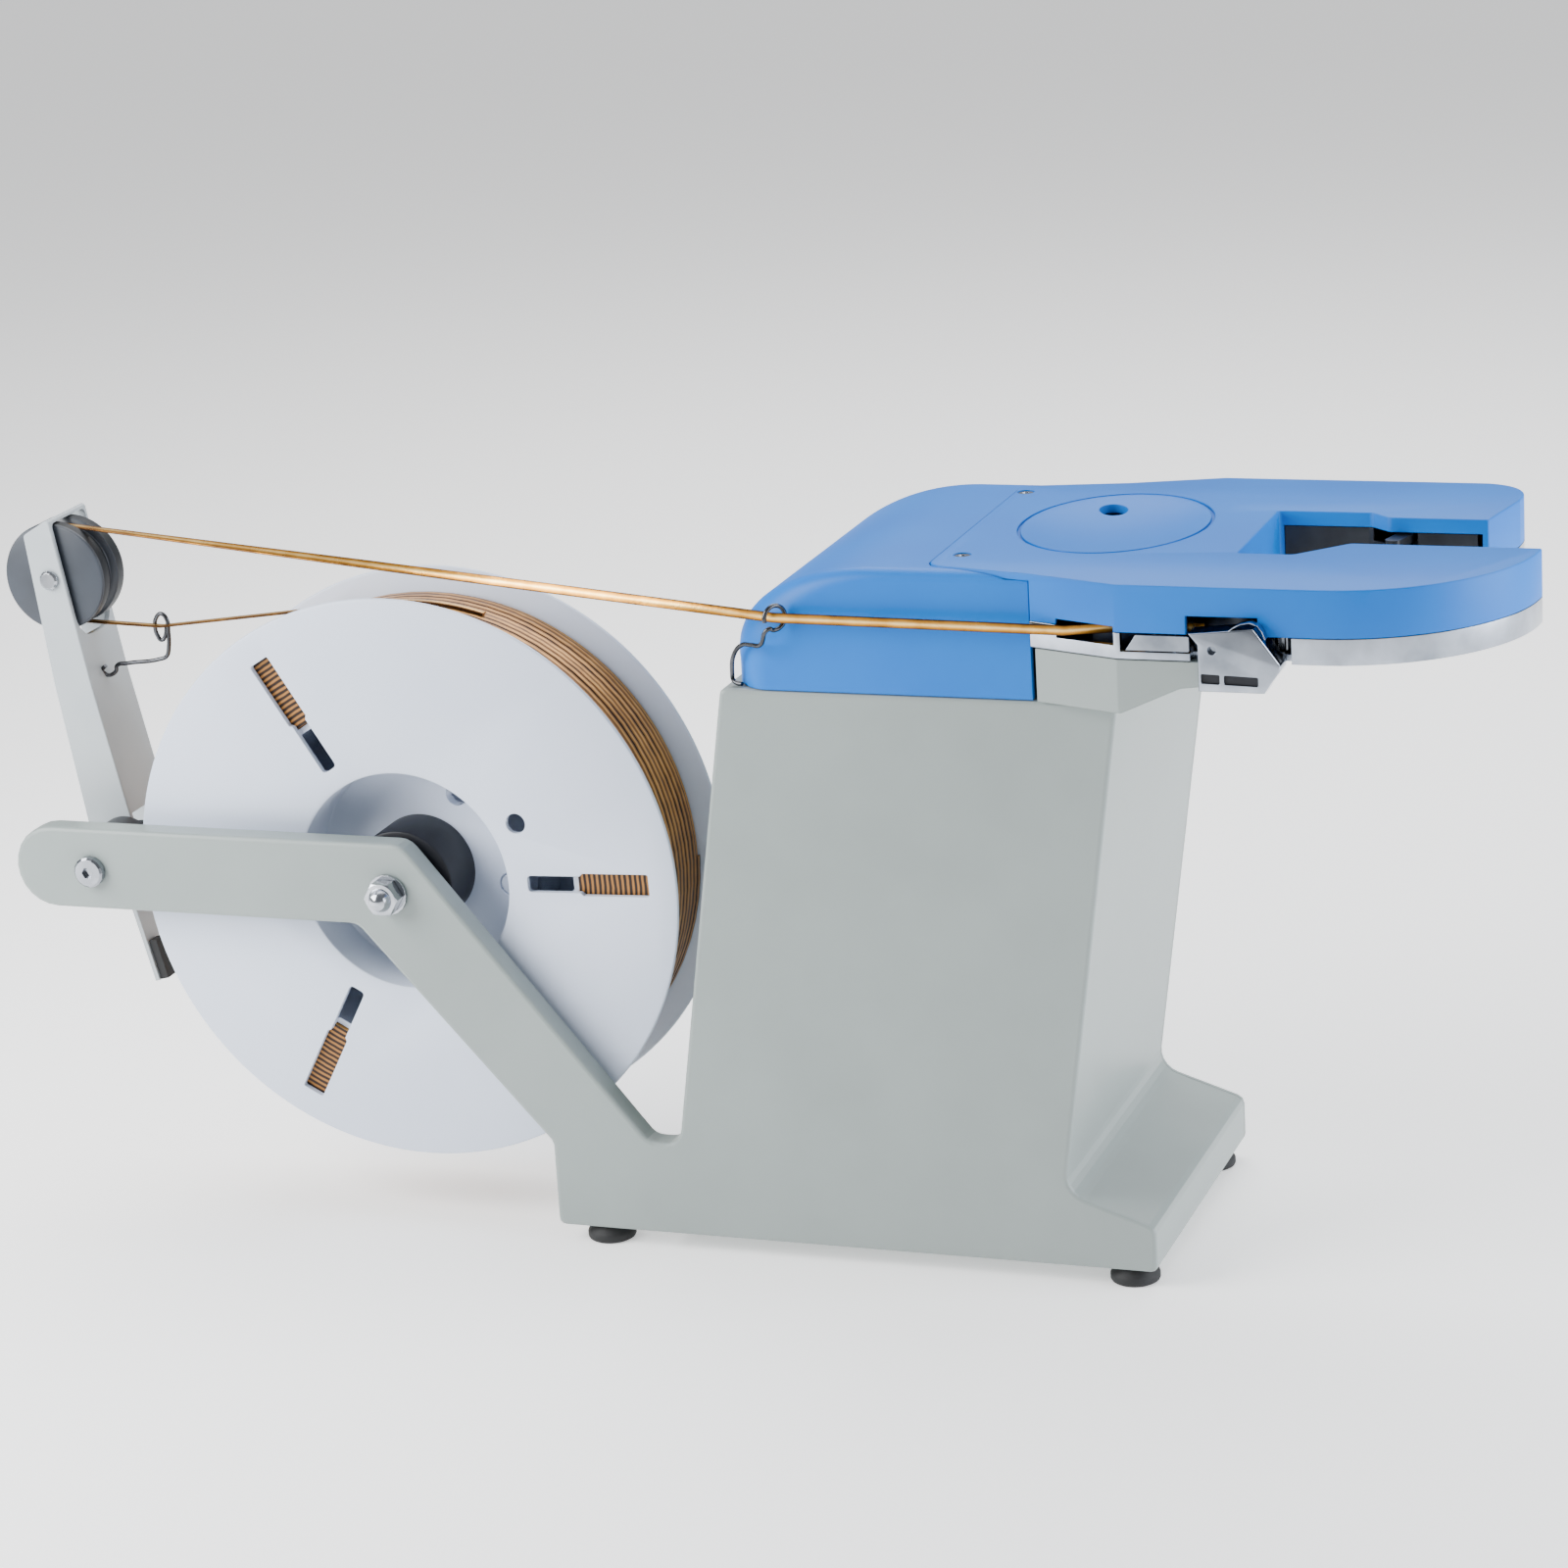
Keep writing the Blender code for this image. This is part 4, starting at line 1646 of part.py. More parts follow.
def make_drive(root, main, cam, twister, metal, brass, paint):
    base = COLUMN_TOP + GAP
    near = CAM_SHAFT_Y - BLOCK_ROUND
    far = SHAFT_Y + BLOCK_HALF
    main_bore = (SHAFT_Y, SHAFT_Z, MAIN_SHAFT)
    cam_bore = (CAM_SHAFT_Y, CAM_SHAFT_Z, CAM_SHAFT)
    rear_top = SHAFT_Z + BLOCK_HALF + CAM_SHAFT
    bearing_block(
        "rear_bearing_block", root, paint, BLOCK_REAR_X, BLOCK_REAR_X + BLOCK_LENGTH, near, far, rear_top, base,
        (main_bore, cam_bore),
    )
    twister_bore = (SHAFT_Y, TWISTER_Z, TWISTER_SHAFT)
    bearing_block(
        "front_bearing_block", root, paint, BLOCK_FRONT_X, BLOCK_FRONT_X + BLOCK_LENGTH, near, far,
        TWISTER_Z + BLOCK_ROUND, base, (main_bore, cam_bore, twister_bore),
    )
    floor = PLATE_LOW + PLATE_FLOOR + GAP
    bearing_block(
        "twister_bearing", root, paint, BEARING_X, BEARING_X + BEARING_LENGTH, SHAFT_Y - BEARING_HALF,
        SHAFT_Y + BEARING_HALF, TWISTER_Z + BLOCK_ROUND - SINK, floor, (twister_bore,),
    )
    shaft = rod("X", SHAFT_Y, SHAFT_Z, MAIN_SHAFT, MAIN_SHAFT_REAR_X - OVERRUN, MAIN_SHAFT_FRONT_X, 16)
    finish(shaft, "main_shaft", main, metal)
    flanged_pulley("main_pulley", main, metal, (SHAFT_Y, SHAFT_Z), MAIN_PULLEY_RADIUS, MAIN_SHAFT)
    up = math.pi / 2
    bored_gear(
        "drive_gear", main, metal, (SHAFT_Y, SHAFT_Z), DRIVE_TEETH, DRIVE_GEAR_X, DRIVE_GEAR_X + GEAR_FACE,
        MAIN_SHAFT, meshed(up, DRIVE_TEETH, True),
    )
    bored_gear(
        "twister_pinion", twister, brass, (SHAFT_Y, TWISTER_Z), TWISTER_TEETH,
        DRIVE_GEAR_X, DRIVE_GEAR_X + GEAR_FACE, TWISTER_SHAFT, meshed(-up, TWISTER_TEETH, False),
    )
    towards = math.atan2(CAM_SHAFT_Z - SHAFT_Z, CAM_SHAFT_Y - SHAFT_Y)
    bored_gear(
        "cam_pinion", main, brass, (SHAFT_Y, SHAFT_Z), CAM_PINION_TEETH, CAM_GEAR_X, CAM_GEAR_X + GEAR_FACE,
        MAIN_SHAFT, meshed(towards, CAM_PINION_TEETH, True),
    )
    bored_gear(
        "cam_gear", cam, metal, (CAM_SHAFT_Y, CAM_SHAFT_Z), CAM_TEETH, CAM_GEAR_X, CAM_GEAR_X + GEAR_FACE,
        CAM_SHAFT, meshed(towards + math.pi, CAM_TEETH, False),
    )
    shaft = rod("X", CAM_SHAFT_Y, CAM_SHAFT_Z, CAM_SHAFT, CAM_SHAFT_REAR_X - 4 * OVERRUN, CAM_SHAFT_FRONT_X, 16)
    finish(shaft, "cam_shaft", cam, metal)
    drum = [
        (CAM_SHAFT + GAP, CAM_REAR_X),
        (CAM_RADIUS - SINK, CAM_REAR_X),
        (CAM_RADIUS, CAM_REAR_X + SINK),
        (CAM_RADIUS, CAM_REAR_X + CAM_LENGTH - SINK),
        (CAM_RADIUS - SINK, CAM_REAR_X + CAM_LENGTH),
        (CAM_SHAFT + GAP, CAM_REAR_X + CAM_LENGTH),
    ]
    finish(turned(drum, "X", (CAM_SHAFT_Y, CAM_SHAFT_Z), 18), "needle_cam", cam, metal)
    shaft = rod("X", SHAFT_Y, TWISTER_Z, TWISTER_SHAFT, TWISTER_REAR_X, TWISTER_FRONT_X, 16)
    finish(shaft, "twister_shaft", twister, metal)
    low = TWISTER_FRONT_X - OVERRUN
    hub = rod("X", SHAFT_Y, TWISTER_Z, TWISTER_SHAFT + SINK, low, POCKET_END_X, 20)
    hook = finish(hub, "twister_hook", twister, metal)
    for side in (-1, 1):
        middle = TWISTER_Z + side * HOOK_SPREAD
        prong = box(
            (POCKET_END_X - SINK, SHAFT_Y - HOOK_WIRE, middle - HOOK_WIRE),
            (POCKET_END_X + HOOK_REACH, SHAFT_Y + HOOK_WIRE, middle + HOOK_WIRE),
        )
        soften(prong, HOOK_WIRE / 2, lambda m, e: m.x > POCKET_END_X, 1)
        join(hook, prong)
    cut(hook, rod("X", SHAFT_Y, TWISTER_Z, TWISTER_SHAFT + GAP, low - OVERRUN, TWISTER_FRONT_X + GAP, 16))


def make_needle(arm_carrier, rack_carrier, metal):
    hub = gear(
        "Z", (NEEDLE_X, NEEDLE_Y), NEEDLE_HUB_TEETH, MODULE, RACK_GEAR_LOW, RACK_GEAR_HIGH,
        meshed(math.pi / 2, NEEDLE_HUB_TEETH, True),
    )
    needle = finish(hub, "needle_arm", arm_carrier, metal)
    join(needle, rod("Z", NEEDLE_X, NEEDLE_Y, NEEDLE_HUB, RACK_GEAR_HIGH - SINK, NEEDLE_HIGH - FINE, 24))
    root_half = NEEDLE_ROOT_WIDTH / 2
    tip_half = NEEDLE_TIP_WIDTH / 2
    corners = [
        (0, -root_half, 0),
        (NEEDLE_REACH, -tip_half, tip_half - GAP),
        (NEEDLE_REACH + tip_half, tip_half, 0),
        (NEEDLE_REACH - tip_half, tip_half, 0),
        (0, root_half, 0),
    ]
    cosine, sine = math.cos(NEEDLE_REST), math.sin(NEEDLE_REST)
    outline = [(NEEDLE_X + u * cosine - v * sine, NEEDLE_Y + u * sine + v * cosine) for u, v in rounded(corners)]
    join(needle, prism(outline, "Z", NEEDLE_LOW, NEEDLE_HIGH))
    low, high = RACK_GEAR_LOW - OVERRUN, NEEDLE_HIGH + OVERRUN
    cut(needle, rod("Z", NEEDLE_X, NEEDLE_Y, NEEDLE_POST + GAP, low, high, 20))
    pitch = math.pi * MODULE
    outline = [(RACK_FRONT_X, RACK_Y + RACK_WIDTH + MODULE), (RACK_REAR_X, RACK_Y + RACK_WIDTH + MODULE)]
    outline.append((RACK_REAR_X, RACK_Y - MODULE * TOOTH_HEIGHT_SHARES[0]))
    first = -2
    last = int((RACK_FRONT_X - NEEDLE_X) / pitch)
    for k in range(first, last):
        for share, height in zip(TOOTH_ANGLE_SHARES, TOOTH_HEIGHT_SHARES):
            outline.append((NEEDLE_X + pitch * (k + share), RACK_Y - MODULE * height))
    outline.append((RACK_FRONT_X, RACK_Y - MODULE * TOOTH_HEIGHT_SHARES[0]))
    rack = finish(prism(outline, "Z", RACK_GEAR_LOW, RACK_GEAR_HIGH), "needle_rack", rack_carrier, metal)
    middle = (RACK_GEAR_LOW + RACK_GEAR_HIGH) / 2
    end = CAM_SHAFT_Y - CAM_RADIUS - GAP
    x = CAM_REAR_X + CAM_LENGTH - 2 * RACK_FINGER
    join(rack, rod("Y", x, middle, RACK_FINGER - SINK / 2, RACK_Y + RACK_WIDTH, end, 16))


def make_rollers(near, far, metal):
    for name, carrier, y, tooth in (
        ("feed_roller_near", near, ROLLER_NEAR_Y, True),
        ("feed_roller_far", far, ROLLER_FAR_Y, False),
    ):
        towards = math.pi / 2 if tooth else -math.pi / 2
        wheel = gear(
            "Z", (ROLLER_X, y), ROLLER_TEETH, ROLLER_MODULE, ROLLER_GEAR_LOW, ROLLER_GEAR_HIGH,
            meshed(towards, ROLLER_TEETH, tooth),
        )
        roller = finish(wheel, name, carrier, metal)
        neck = rod("Z", ROLLER_X, y, ROLLER_NECK, ROLLER_GEAR_HIGH - SINK, ROLLER_GEAR_HIGH + SINK, 16)
        join(roller, neck, rod("Z", ROLLER_X, y, ROLLER_RADIUS, ROLLER_GEAR_HIGH + GAP, ROLLER_TOP - GAP, 16))
        cut(roller, rod("Z", ROLLER_X, y, ROLLER_PIN + GAP, ROLLER_GEAR_LOW - OVERRUN, ROLLER_TOP + OVERRUN, 12))


def make_trigger(carrier, metal):
    post = Vector((TRIGGER_X, TRIGGER_Y))
    tip = Vector((TRIGGER_REACH_X, TRIGGER_REACH_Y))
    along = tip - post
    side = Vector((-along.y, along.x)).normalized() * (TRIGGER_WIDTH / 2)
    corners = [
        (*(post - side), 0),
        (*(tip - side), TRIGGER_WIDTH / 3),
        (*(tip + side), TRIGGER_WIDTH / 3),
        (*(post + side), 0),
    ]
    blade = prism(rounded(corners[::-1]), "Z", TRIGGER_LOW, TRIGGER_HIGH)
    trigger = finish(blade, "bag_trigger", carrier, metal)
    low = PLATE_LOW + PLATE_FLOOR + GAP
    join(trigger, rod("Z", TRIGGER_X, TRIGGER_Y, TRIGGER_BOSS, low, TRIGGER_HIGH - FINE, 24))
    cut(trigger, rod("Z", TRIGGER_X, TRIGGER_Y, TRIGGER_POST + GAP, PLATE_LOW, TRIGGER_HIGH + OVERRUN, 16))


def make_electrics(root, rocker_carrier, green, dark, metal):
    far = WIDTH - SIDE_COVER
    board_low = STAND_WALL + BOARD_STANDOFF
    plate = box(
        (BOARD_X, board_low, BOARD_Z),
        (BOARD_X + BOARD_LENGTH, board_low + BOARD, BOARD_Z + BOARD_HEIGHT),
    )
    board = finish(plate, "circuit_board", root, green)
    step = 3 * BOARD_STANDOFF_RADIUS
    for x in (BOARD_X + step, BOARD_X + BOARD_LENGTH - step):
        for z in (BOARD_Z + step, BOARD_Z + BOARD_HEIGHT - step):
            join(board, rod("Y", x, z, BOARD_STANDOFF_RADIUS, STAND_WALL + GAP, board_low + SINK, 12))
    base = board_low + BOARD - SINK / 2
    for share, low_share, width_share in BOARD_PART_SHARES:
        x = BOARD_X + BOARD_LENGTH * share
        z = BOARD_Z + BOARD_HEIGHT * low_share
        size = BOARD_LENGTH * width_share
        join(board, box((x, base, z), (x + size, base + BOARD_PART_DEPTH, z + size)))
    shapes = (
        ("power_inlet", INLET_X, INLET_LENGTH, INLET_HEIGHT, INLET_DEPTH, INLET_FLANGE, INLET_FLANGE_GROW),
        ("switch_housing", SWITCH_X, SWITCH_LENGTH, SWITCH_HEIGHT, SWITCH_DEPTH, SWITCH_BEZEL, SWITCH_BEZEL_GROW),
    )
    for name, x, length, height, depth, flange, grow in shapes:
        half = Vector((length / 2, 0, height / 2))
        core = box(Vector((x, far - depth, INLET_Z)) - half, Vector((x, WIDTH + GAP + FINE, INLET_Z)) + half)
        made = finish(core, name, root, dark)
        rim = box(
            (x - length / 2 - grow, WIDTH + GAP, INLET_Z - height / 2 - grow),
            (x + length / 2 + grow, WIDTH + GAP + flange, INLET_Z + height / 2 + grow),
        )
        soften(rim, flange / 3, lambda m, e: m.y > WIDTH + 2 * GAP, 1)
        join(made, rim)
        mouth = box(
            (x - length / 2 + INLET_WALL, WIDTH - INLET_MOUTH_DEPTH, INLET_Z - height / 2 + INLET_WALL),
            (x + length / 2 - INLET_WALL, WIDTH + INLET_FLANGE + OVERRUN, INLET_Z + height / 2 - INLET_WALL),
        )
        cut(made, mouth)
        if name == "power_inlet":
            for offset in (-1, 0, 1):
                pin_x = x + offset * length / 4
                low = WIDTH - INLET_MOUTH_DEPTH - SINK
                pin_high = (pin_x + SINK, WIDTH - SINK, INLET_Z + INLET_WALL)
                join(made, box((pin_x - SINK, low, INLET_Z - INLET_WALL), pin_high))
    half = SWITCH_LENGTH / 2 - INLET_WALL - ROCKER_GAP
    face = WIDTH + SWITCH_BEZEL
    lift = half * math.tan(ROCKER_ANGLE)
    corners = [
        (SWITCH_X - half + ROCKER_STAND, WIDTH - ROCKER_STAND),
        (SWITCH_X + half - ROCKER_STAND, WIDTH - ROCKER_STAND),
        (SWITCH_X + half, face - lift + SINK),
        (SWITCH_X, face - lift / 2),
        (SWITCH_X - half, face + lift + SINK / 2),
    ]
    height = SWITCH_HEIGHT / 2 - INLET_WALL - GAP
    finish(prism(corners, "Z", INLET_Z - height, INLET_Z + height), "switch_rocker", rocker_carrier, dark)


def make_cover_screws(root, metal):
    places = {
        "cover_screw_near": (NEAR_SCREW_X, NEAR_SCREW_Y),
        "cover_screw_far": (FAR_SCREW_X, FAR_SCREW_Y),
    }
    low = HEAD_TOP - COVER_SCREW_HEAD + GAP
    for name, (x, y) in places.items():
        head = rod("Z", x, y, COVER_SCREW_RADIUS, low, HEAD_TOP - GAP, 20)
        screw = finish(head, name, root, metal)
        cut(screw, rod("Z", x, y, COVER_SCREW_RADIUS / 2, HEAD_TOP - COVER_SCREW_HEAD / 2, HEAD_TOP + OVERRUN, 6))


def main():
    clear_scene()
    grey = material("stand_grey", "B4BBBA", 0.45)
    blue = material("cover_blue", "5E9BD3", 0.42)
    white = material("reel_white", "D5DCE8", 0.5)
    dark = material("dark_plastic", "2E3038", 0.5)
    slate = material("pulley_slate", "5B6672", 0.55)
    rubber = material("black_rubber", "17181A", 0.8)
    bright = material("bright_metal", "C9CBCF", 0.22, 1.0)
    polished = material("polished_steel", "D9DADD", 0.12, 1.0)
    brass = material("brass", "C4A25A", 0.3, 1.0)
    graphite = material("graphite", "34373D", 0.6)
    block = material("block_aluminium", "9EA3A8", 0.38, 1.0)
    black = material("motor_black", "1F1F21", 0.45)
    gold = material("tie_gold", "D29A45", 0.35, 0.3)
    kraft = material("tie_winding", "A8814F", 0.55)
    green = material("board_green", "2F5D43", 0.5)

    PLACES["machine"] = Vector((0, 0, 0))
    root = bpy.data.objects.new("machine", None)
    root.empty_display_size = HUB_RADIUS
    bpy.context.collection.objects.link(root)
    root.location = (-CENTRE_X, -CENTRE_Y, 0)

    make_casting(root, grey)
    make_side_cover(root, grey)
    make_feet(root, rubber)
    make_chin(root, grey)
    make_base_plate(root, polished)
    make_rear_cover(root, blue)
    make_front_cover(root, blue)
    make_liner(root, graphite)
    make_clamp(root, polished)
    make_rear_guide(root, bright)
    make_reel_shaft(root, bright)
    make_cover_screws(root, bright)

    reel = pivot("reel_axis", (0, REEL_MIDDLE_Y, REEL_Z), root)
    make_reel(reel, white, dark, kraft)

    lever = pivot("lever_axis", (LEVER_PIVOT_X, LEVER_NEAR_Y, LEVER_PIVOT_Z), root)
    make_lever(lever, grey, bright, rubber)
    make_lever_pivot(root, bright, dark)
    make_lever_spring(root, bright)
    wheel = pivot("pulley_axis", (PULLEY_X, PULLEY_MIDDLE_Y, PULLEY_Z), lever)
    make_pulley(wheel, slate)

    rotor = pivot("motor_axis", (MOTOR_SHAFT_REAR_X, SHAFT_Y, MOTOR_Z), root)
    make_motor(root, rotor, black, bright, rubber)
    shaft = pivot("main_axis", (MAIN_SHAFT_REAR_X, SHAFT_Y, SHAFT_Z), root)
    cam = pivot("cam_axis", (CAM_SHAFT_REAR_X, CAM_SHAFT_Y, CAM_SHAFT_Z), root)
    twister = pivot("twister_axis", (TWISTER_REAR_X, SHAFT_Y, TWISTER_Z), root)
    make_drive(root, shaft, cam, twister, bright, brass, block)
    needle = pivot("needle_axis", (NEEDLE_X, NEEDLE_Y, NEEDLE_LOW), root)
    rack = pivot("rack_guide", (RACK_REAR_X, RACK_Y, RACK_GEAR_LOW), root)
    make_needle(needle, rack, bright)
    near = pivot("near_roller_axis", (ROLLER_X, ROLLER_NEAR_Y, ROLLER_GEAR_LOW), root)
    far = pivot("far_roller_axis", (ROLLER_X, ROLLER_FAR_Y, ROLLER_GEAR_LOW), root)
    make_rollers(near, far, bright)
    trigger = pivot("trigger_axis", (TRIGGER_X, TRIGGER_Y, TRIGGER_LOW), root)
    make_trigger(trigger, graphite)
    rocker = pivot("rocker_axis", (SWITCH_X, WIDTH, INLET_Z), root)
    make_electrics(root, rocker, green, dark, bright)
    make_strand(root, gold)


main()
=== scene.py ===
# %% [markdown]
# # A bench twist tie machine
#
# The machine closes a bag with a twist tie. Its solids come packed from the
# CAD side as a fixed frame, so every piece made here is put where that frame
# says. Loading the frame first also gives the object's size.

# %% Load the frame
import math

import bmesh
import bpy
from mathutils import Matrix, Vector


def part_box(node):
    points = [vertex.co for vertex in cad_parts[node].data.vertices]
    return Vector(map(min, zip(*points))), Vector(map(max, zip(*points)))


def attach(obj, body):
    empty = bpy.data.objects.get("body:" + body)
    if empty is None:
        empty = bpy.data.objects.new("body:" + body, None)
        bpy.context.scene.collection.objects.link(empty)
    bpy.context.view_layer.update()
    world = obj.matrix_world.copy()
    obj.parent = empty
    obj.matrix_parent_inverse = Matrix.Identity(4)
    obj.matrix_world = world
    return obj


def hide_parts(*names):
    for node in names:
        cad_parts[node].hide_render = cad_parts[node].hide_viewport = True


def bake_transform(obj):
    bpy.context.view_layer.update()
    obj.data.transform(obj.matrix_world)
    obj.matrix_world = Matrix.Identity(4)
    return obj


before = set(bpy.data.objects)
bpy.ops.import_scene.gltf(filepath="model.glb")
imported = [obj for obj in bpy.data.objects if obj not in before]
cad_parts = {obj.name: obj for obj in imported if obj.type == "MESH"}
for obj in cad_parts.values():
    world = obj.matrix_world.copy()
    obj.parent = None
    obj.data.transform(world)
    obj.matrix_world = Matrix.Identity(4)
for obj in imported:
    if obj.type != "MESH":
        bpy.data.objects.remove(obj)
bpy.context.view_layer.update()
MM = 0.001

# %% [markdown]
# The photograph was taken from the machine's near side, a little to the fork's
# side and from above, with a long lens. A camera is a position and three
# directions: right, up and back. Writing them out from three angles keeps the
# view exact, where aiming by hand would only come close.

# %% Camera
EYE = Vector((0.620623, -1.641761, 0.709714))
YAW, PITCH, ROLL = (math.radians(a) for a in (20.4341, 16.8404, -3.5322))
LENS_MM = 102.87

back = Vector((math.sin(YAW) * math.cos(PITCH), -math.cos(YAW) * math.cos(PITCH), math.sin(PITCH)))
right = Vector((math.cos(YAW), math.sin(YAW), 0))
above = back.cross(right)
turned_right = right * math.cos(ROLL) + above * math.sin(ROLL)
turned_up = above * math.cos(ROLL) - right * math.sin(ROLL)

camera = bpy.data.objects.new("camera", bpy.data.cameras.new("camera"))
bpy.context.scene.collection.objects.link(camera)
camera.data.sensor_width = 36
camera.data.lens = LENS_MM
camera.data.clip_end = 20
axes = Matrix((turned_right, turned_up, back)).transposed().to_4x4()
camera.matrix_world = Matrix.Translation(EYE) @ axes
bpy.context.scene.camera = camera
print("camera", [round(v, 3) for v in EYE])

# %% [markdown]
# A studio for a product picture is a pale floor, a bright room all round and a
# few large lamps. A large lamp makes a soft shadow and a broad, calm shine on
# paint and plastic, and small lamps would leave hard spots.


# %% Floor and lights
def srgb(text):
    """A hex colour as the linear values that the shaders take."""
    parts = [int(text[i : i + 2], 16) / 255 for i in (0, 2, 4)]
    return [c / 12.92 if c <= 0.04045 else ((c + 0.055) / 1.055) ** 2.4 for c in parts] + [1.0]


def add(tree, kind, inputs=None, **settings):
    """One shader node with its settings, and each input a value or another node's socket."""
    node = tree.nodes.new(kind)
    for name, value in settings.items():
        setattr(node, name, value)
    for socket, value in (inputs or {}).items():
        if isinstance(value, bpy.types.NodeSocket):
            tree.links.new(value, node.inputs[socket])
        else:
            node.inputs[socket].default_value = value
    return node


def lamp(name, place, target, size, watts, tint="FFFFFF"):
    """A square area lamp that points from its place at a target."""
    light = bpy.data.lights.new(name, "AREA")
    light.size = size
    light.energy = watts
    light.color = srgb(tint)[:3]
    holder = bpy.data.objects.new(name, light)
    bpy.context.scene.collection.objects.link(holder)
    holder.location = place
    holder.rotation_euler = (Vector(target) - Vector(place)).to_track_quat("-Z", "Y").to_euler()


FLOOR_REACH_M = 12
studio = bmesh.new()
bmesh.ops.create_grid(studio, x_segments=1, y_segments=1, size=FLOOR_REACH_M)
floor_mesh = bpy.data.meshes.new("floor")
studio.to_mesh(floor_mesh)
studio.free()
floor = bpy.data.objects.new("floor", floor_mesh)
bpy.context.scene.collection.objects.link(floor)

paper = bpy.data.materials.new("backdrop_paper")
paper.use_nodes = True
PAPER = {
    "Base Color": srgb("F4F4F4"), "Roughness": 0.9, "Specular IOR Level": 0.1,
    "Emission Color": srgb("FFFFFF"), "Emission Strength": 0.6,
}
for socket, value in PAPER.items():
    paper.node_tree.nodes["Principled BSDF"].inputs[socket].default_value = value
floor_mesh.materials.append(paper)

world = bpy.data.worlds.new("studio")
world.use_nodes = True
bpy.context.scene.world = world
sky = world.node_tree.nodes["Background"]
sky.inputs["Color"].default_value = srgb("F7F9FC")
sky.inputs["Strength"].default_value = 0.4

lamp("left", (-0.75, -0.55, 0.65), (-0.15, 0, 0.15), 0.7, 21)
lamp("right", (1.5, 0.1, 0.5), (0.1, 0, 0.12), 1.0, 30, "F3F7FF")
lamp("top", (0.0, 0.9, 1.6), (0.05, 0, 0.2), 1.6, 40)
print("three lamps and a floor")

# %% [markdown]
# Most surfaces here need the same few layers: a colour that varies a little
# over centimetres, a fine grain that tilts the surface over fractions of a
# millimetre, and edges that are never quite sharp. One function sets these up,
# so that each finish below only says how much of each it has and how large.


# %% How a finish is put together
def graded(tree, value, low, high, *between):
    """A colour ramp over a value from a low stop to a high one, each a (position, hex colour)."""
    ramp = add(tree, "ShaderNodeValToRGB", {"Fac": value})
    stops = ramp.color_ramp.elements
    for stop, (position, colour) in zip(stops, (low, high)):
        stop.position, stop.color = position, srgb(colour)
    for position, colour in between:
        stops.new(position).color = srgb(colour)
    return ramp.outputs["Color"]


def finish(
    name, colour, second, patch_mm, roughness, grain_mm, grain_depth_mm, edge_mm=0.4, metallic=0.0, more=None
):
    """A material with patches of two near colours, a grain, softened edges and more inputs if given."""
    made = bpy.data.materials.new(name)
    made.use_nodes = True
    tree = made.node_tree
    shader = tree.nodes["Principled BSDF"]
    place = add(tree, "ShaderNodeTexCoord").outputs["Object"]
    spots = {"Vector": place, "Scale": 1 / (patch_mm * MM), "Detail": 4.0}
    patches = add(tree, "ShaderNodeTexNoise", spots).outputs["Fac"]
    tree.links.new(graded(tree, patches, (0.35, colour), (0.65, second)), shader.inputs["Base Color"])
    limits = {"Value": patches, "To Min": roughness * 0.88, "To Max": roughness * 1.12}
    spread = add(tree, "ShaderNodeMapRange", limits)
    tree.links.new(spread.outputs["Result"], shader.inputs["Roughness"])
    grain = add(tree, "ShaderNodeTexNoise", {"Vector": place, "Scale": 1 / (grain_mm * MM), "Detail": 2.0})
    soft = add(tree, "ShaderNodeBevel", {"Radius": edge_mm * MM}, samples=4)
    relief = {"Height": grain.outputs["Fac"], "Distance": grain_depth_mm * MM}
    bump = add(tree, "ShaderNodeBump", {**relief, "Normal": soft.outputs["Normal"]})
    tree.links.new(bump.outputs["Normal"], shader.inputs["Normal"])
    for socket, value in {"Metallic": metallic, **(more or {})}.items():
        shader.inputs[socket].default_value = value
    return made


# %% [markdown]
# The stand is an aluminium casting with a powder coat in warm light grey. The
# coat melts in an oven, so it keeps a faint orange peel, a ripple a little
# over a millimetre across that breaks up reflections without hiding them. The
# lever is bent sheet steel with the same coat in a lighter batch.

# %% Powder coat on the casting
COAT = {"Coat Weight": 0.15, "Coat Roughness": 0.3}
powder_coat = finish("powder_coated_casting", "87918F", "8C9694", 45, 0.42, 1.3, 0.02, 0.8, more=COAT)
lever_coat = finish("powder_coated_sheet", "A9B1B6", "AEB6BA", 30, 0.38, 1.3, 0.015, 0.5, more=COAT)

# %% [markdown]
# The covers are light alloy shells sprayed with a satin sky blue. Sprayed
# paint levels itself while it is wet, so it is smoother than the powder coat
# and keeps only a very fine grain. It looks paler where it is seen at a low
# angle, and deeper in colour head on.

# %% Blue paint of the covers
SATIN = {"Specular IOR Level": 0.2}
cover_blue = finish("sprayed_satin_blue", "0069C4", "006EC8", 60, 0.42, 0.9, 0.008, 0.6, more=SATIN)

# %% [markdown]
# The reel is polystyrene, cheap and stiff, in a white with a touch of blue. It
# comes from a polished mould, so it has almost no grain and a soft gloss.

# %% White polystyrene of the reel
reel_white = finish("moulded_polystyrene_white", "CCD6E8", "D1DAEB", 70, 0.34, 2.5, 0.004, 0.5)

# %% [markdown]
# The hub, the knob, the spacer and the mains fittings are black nylon. It is
# never fully black: fine mould grain catches some light and lifts it to a
# dark blue-grey.

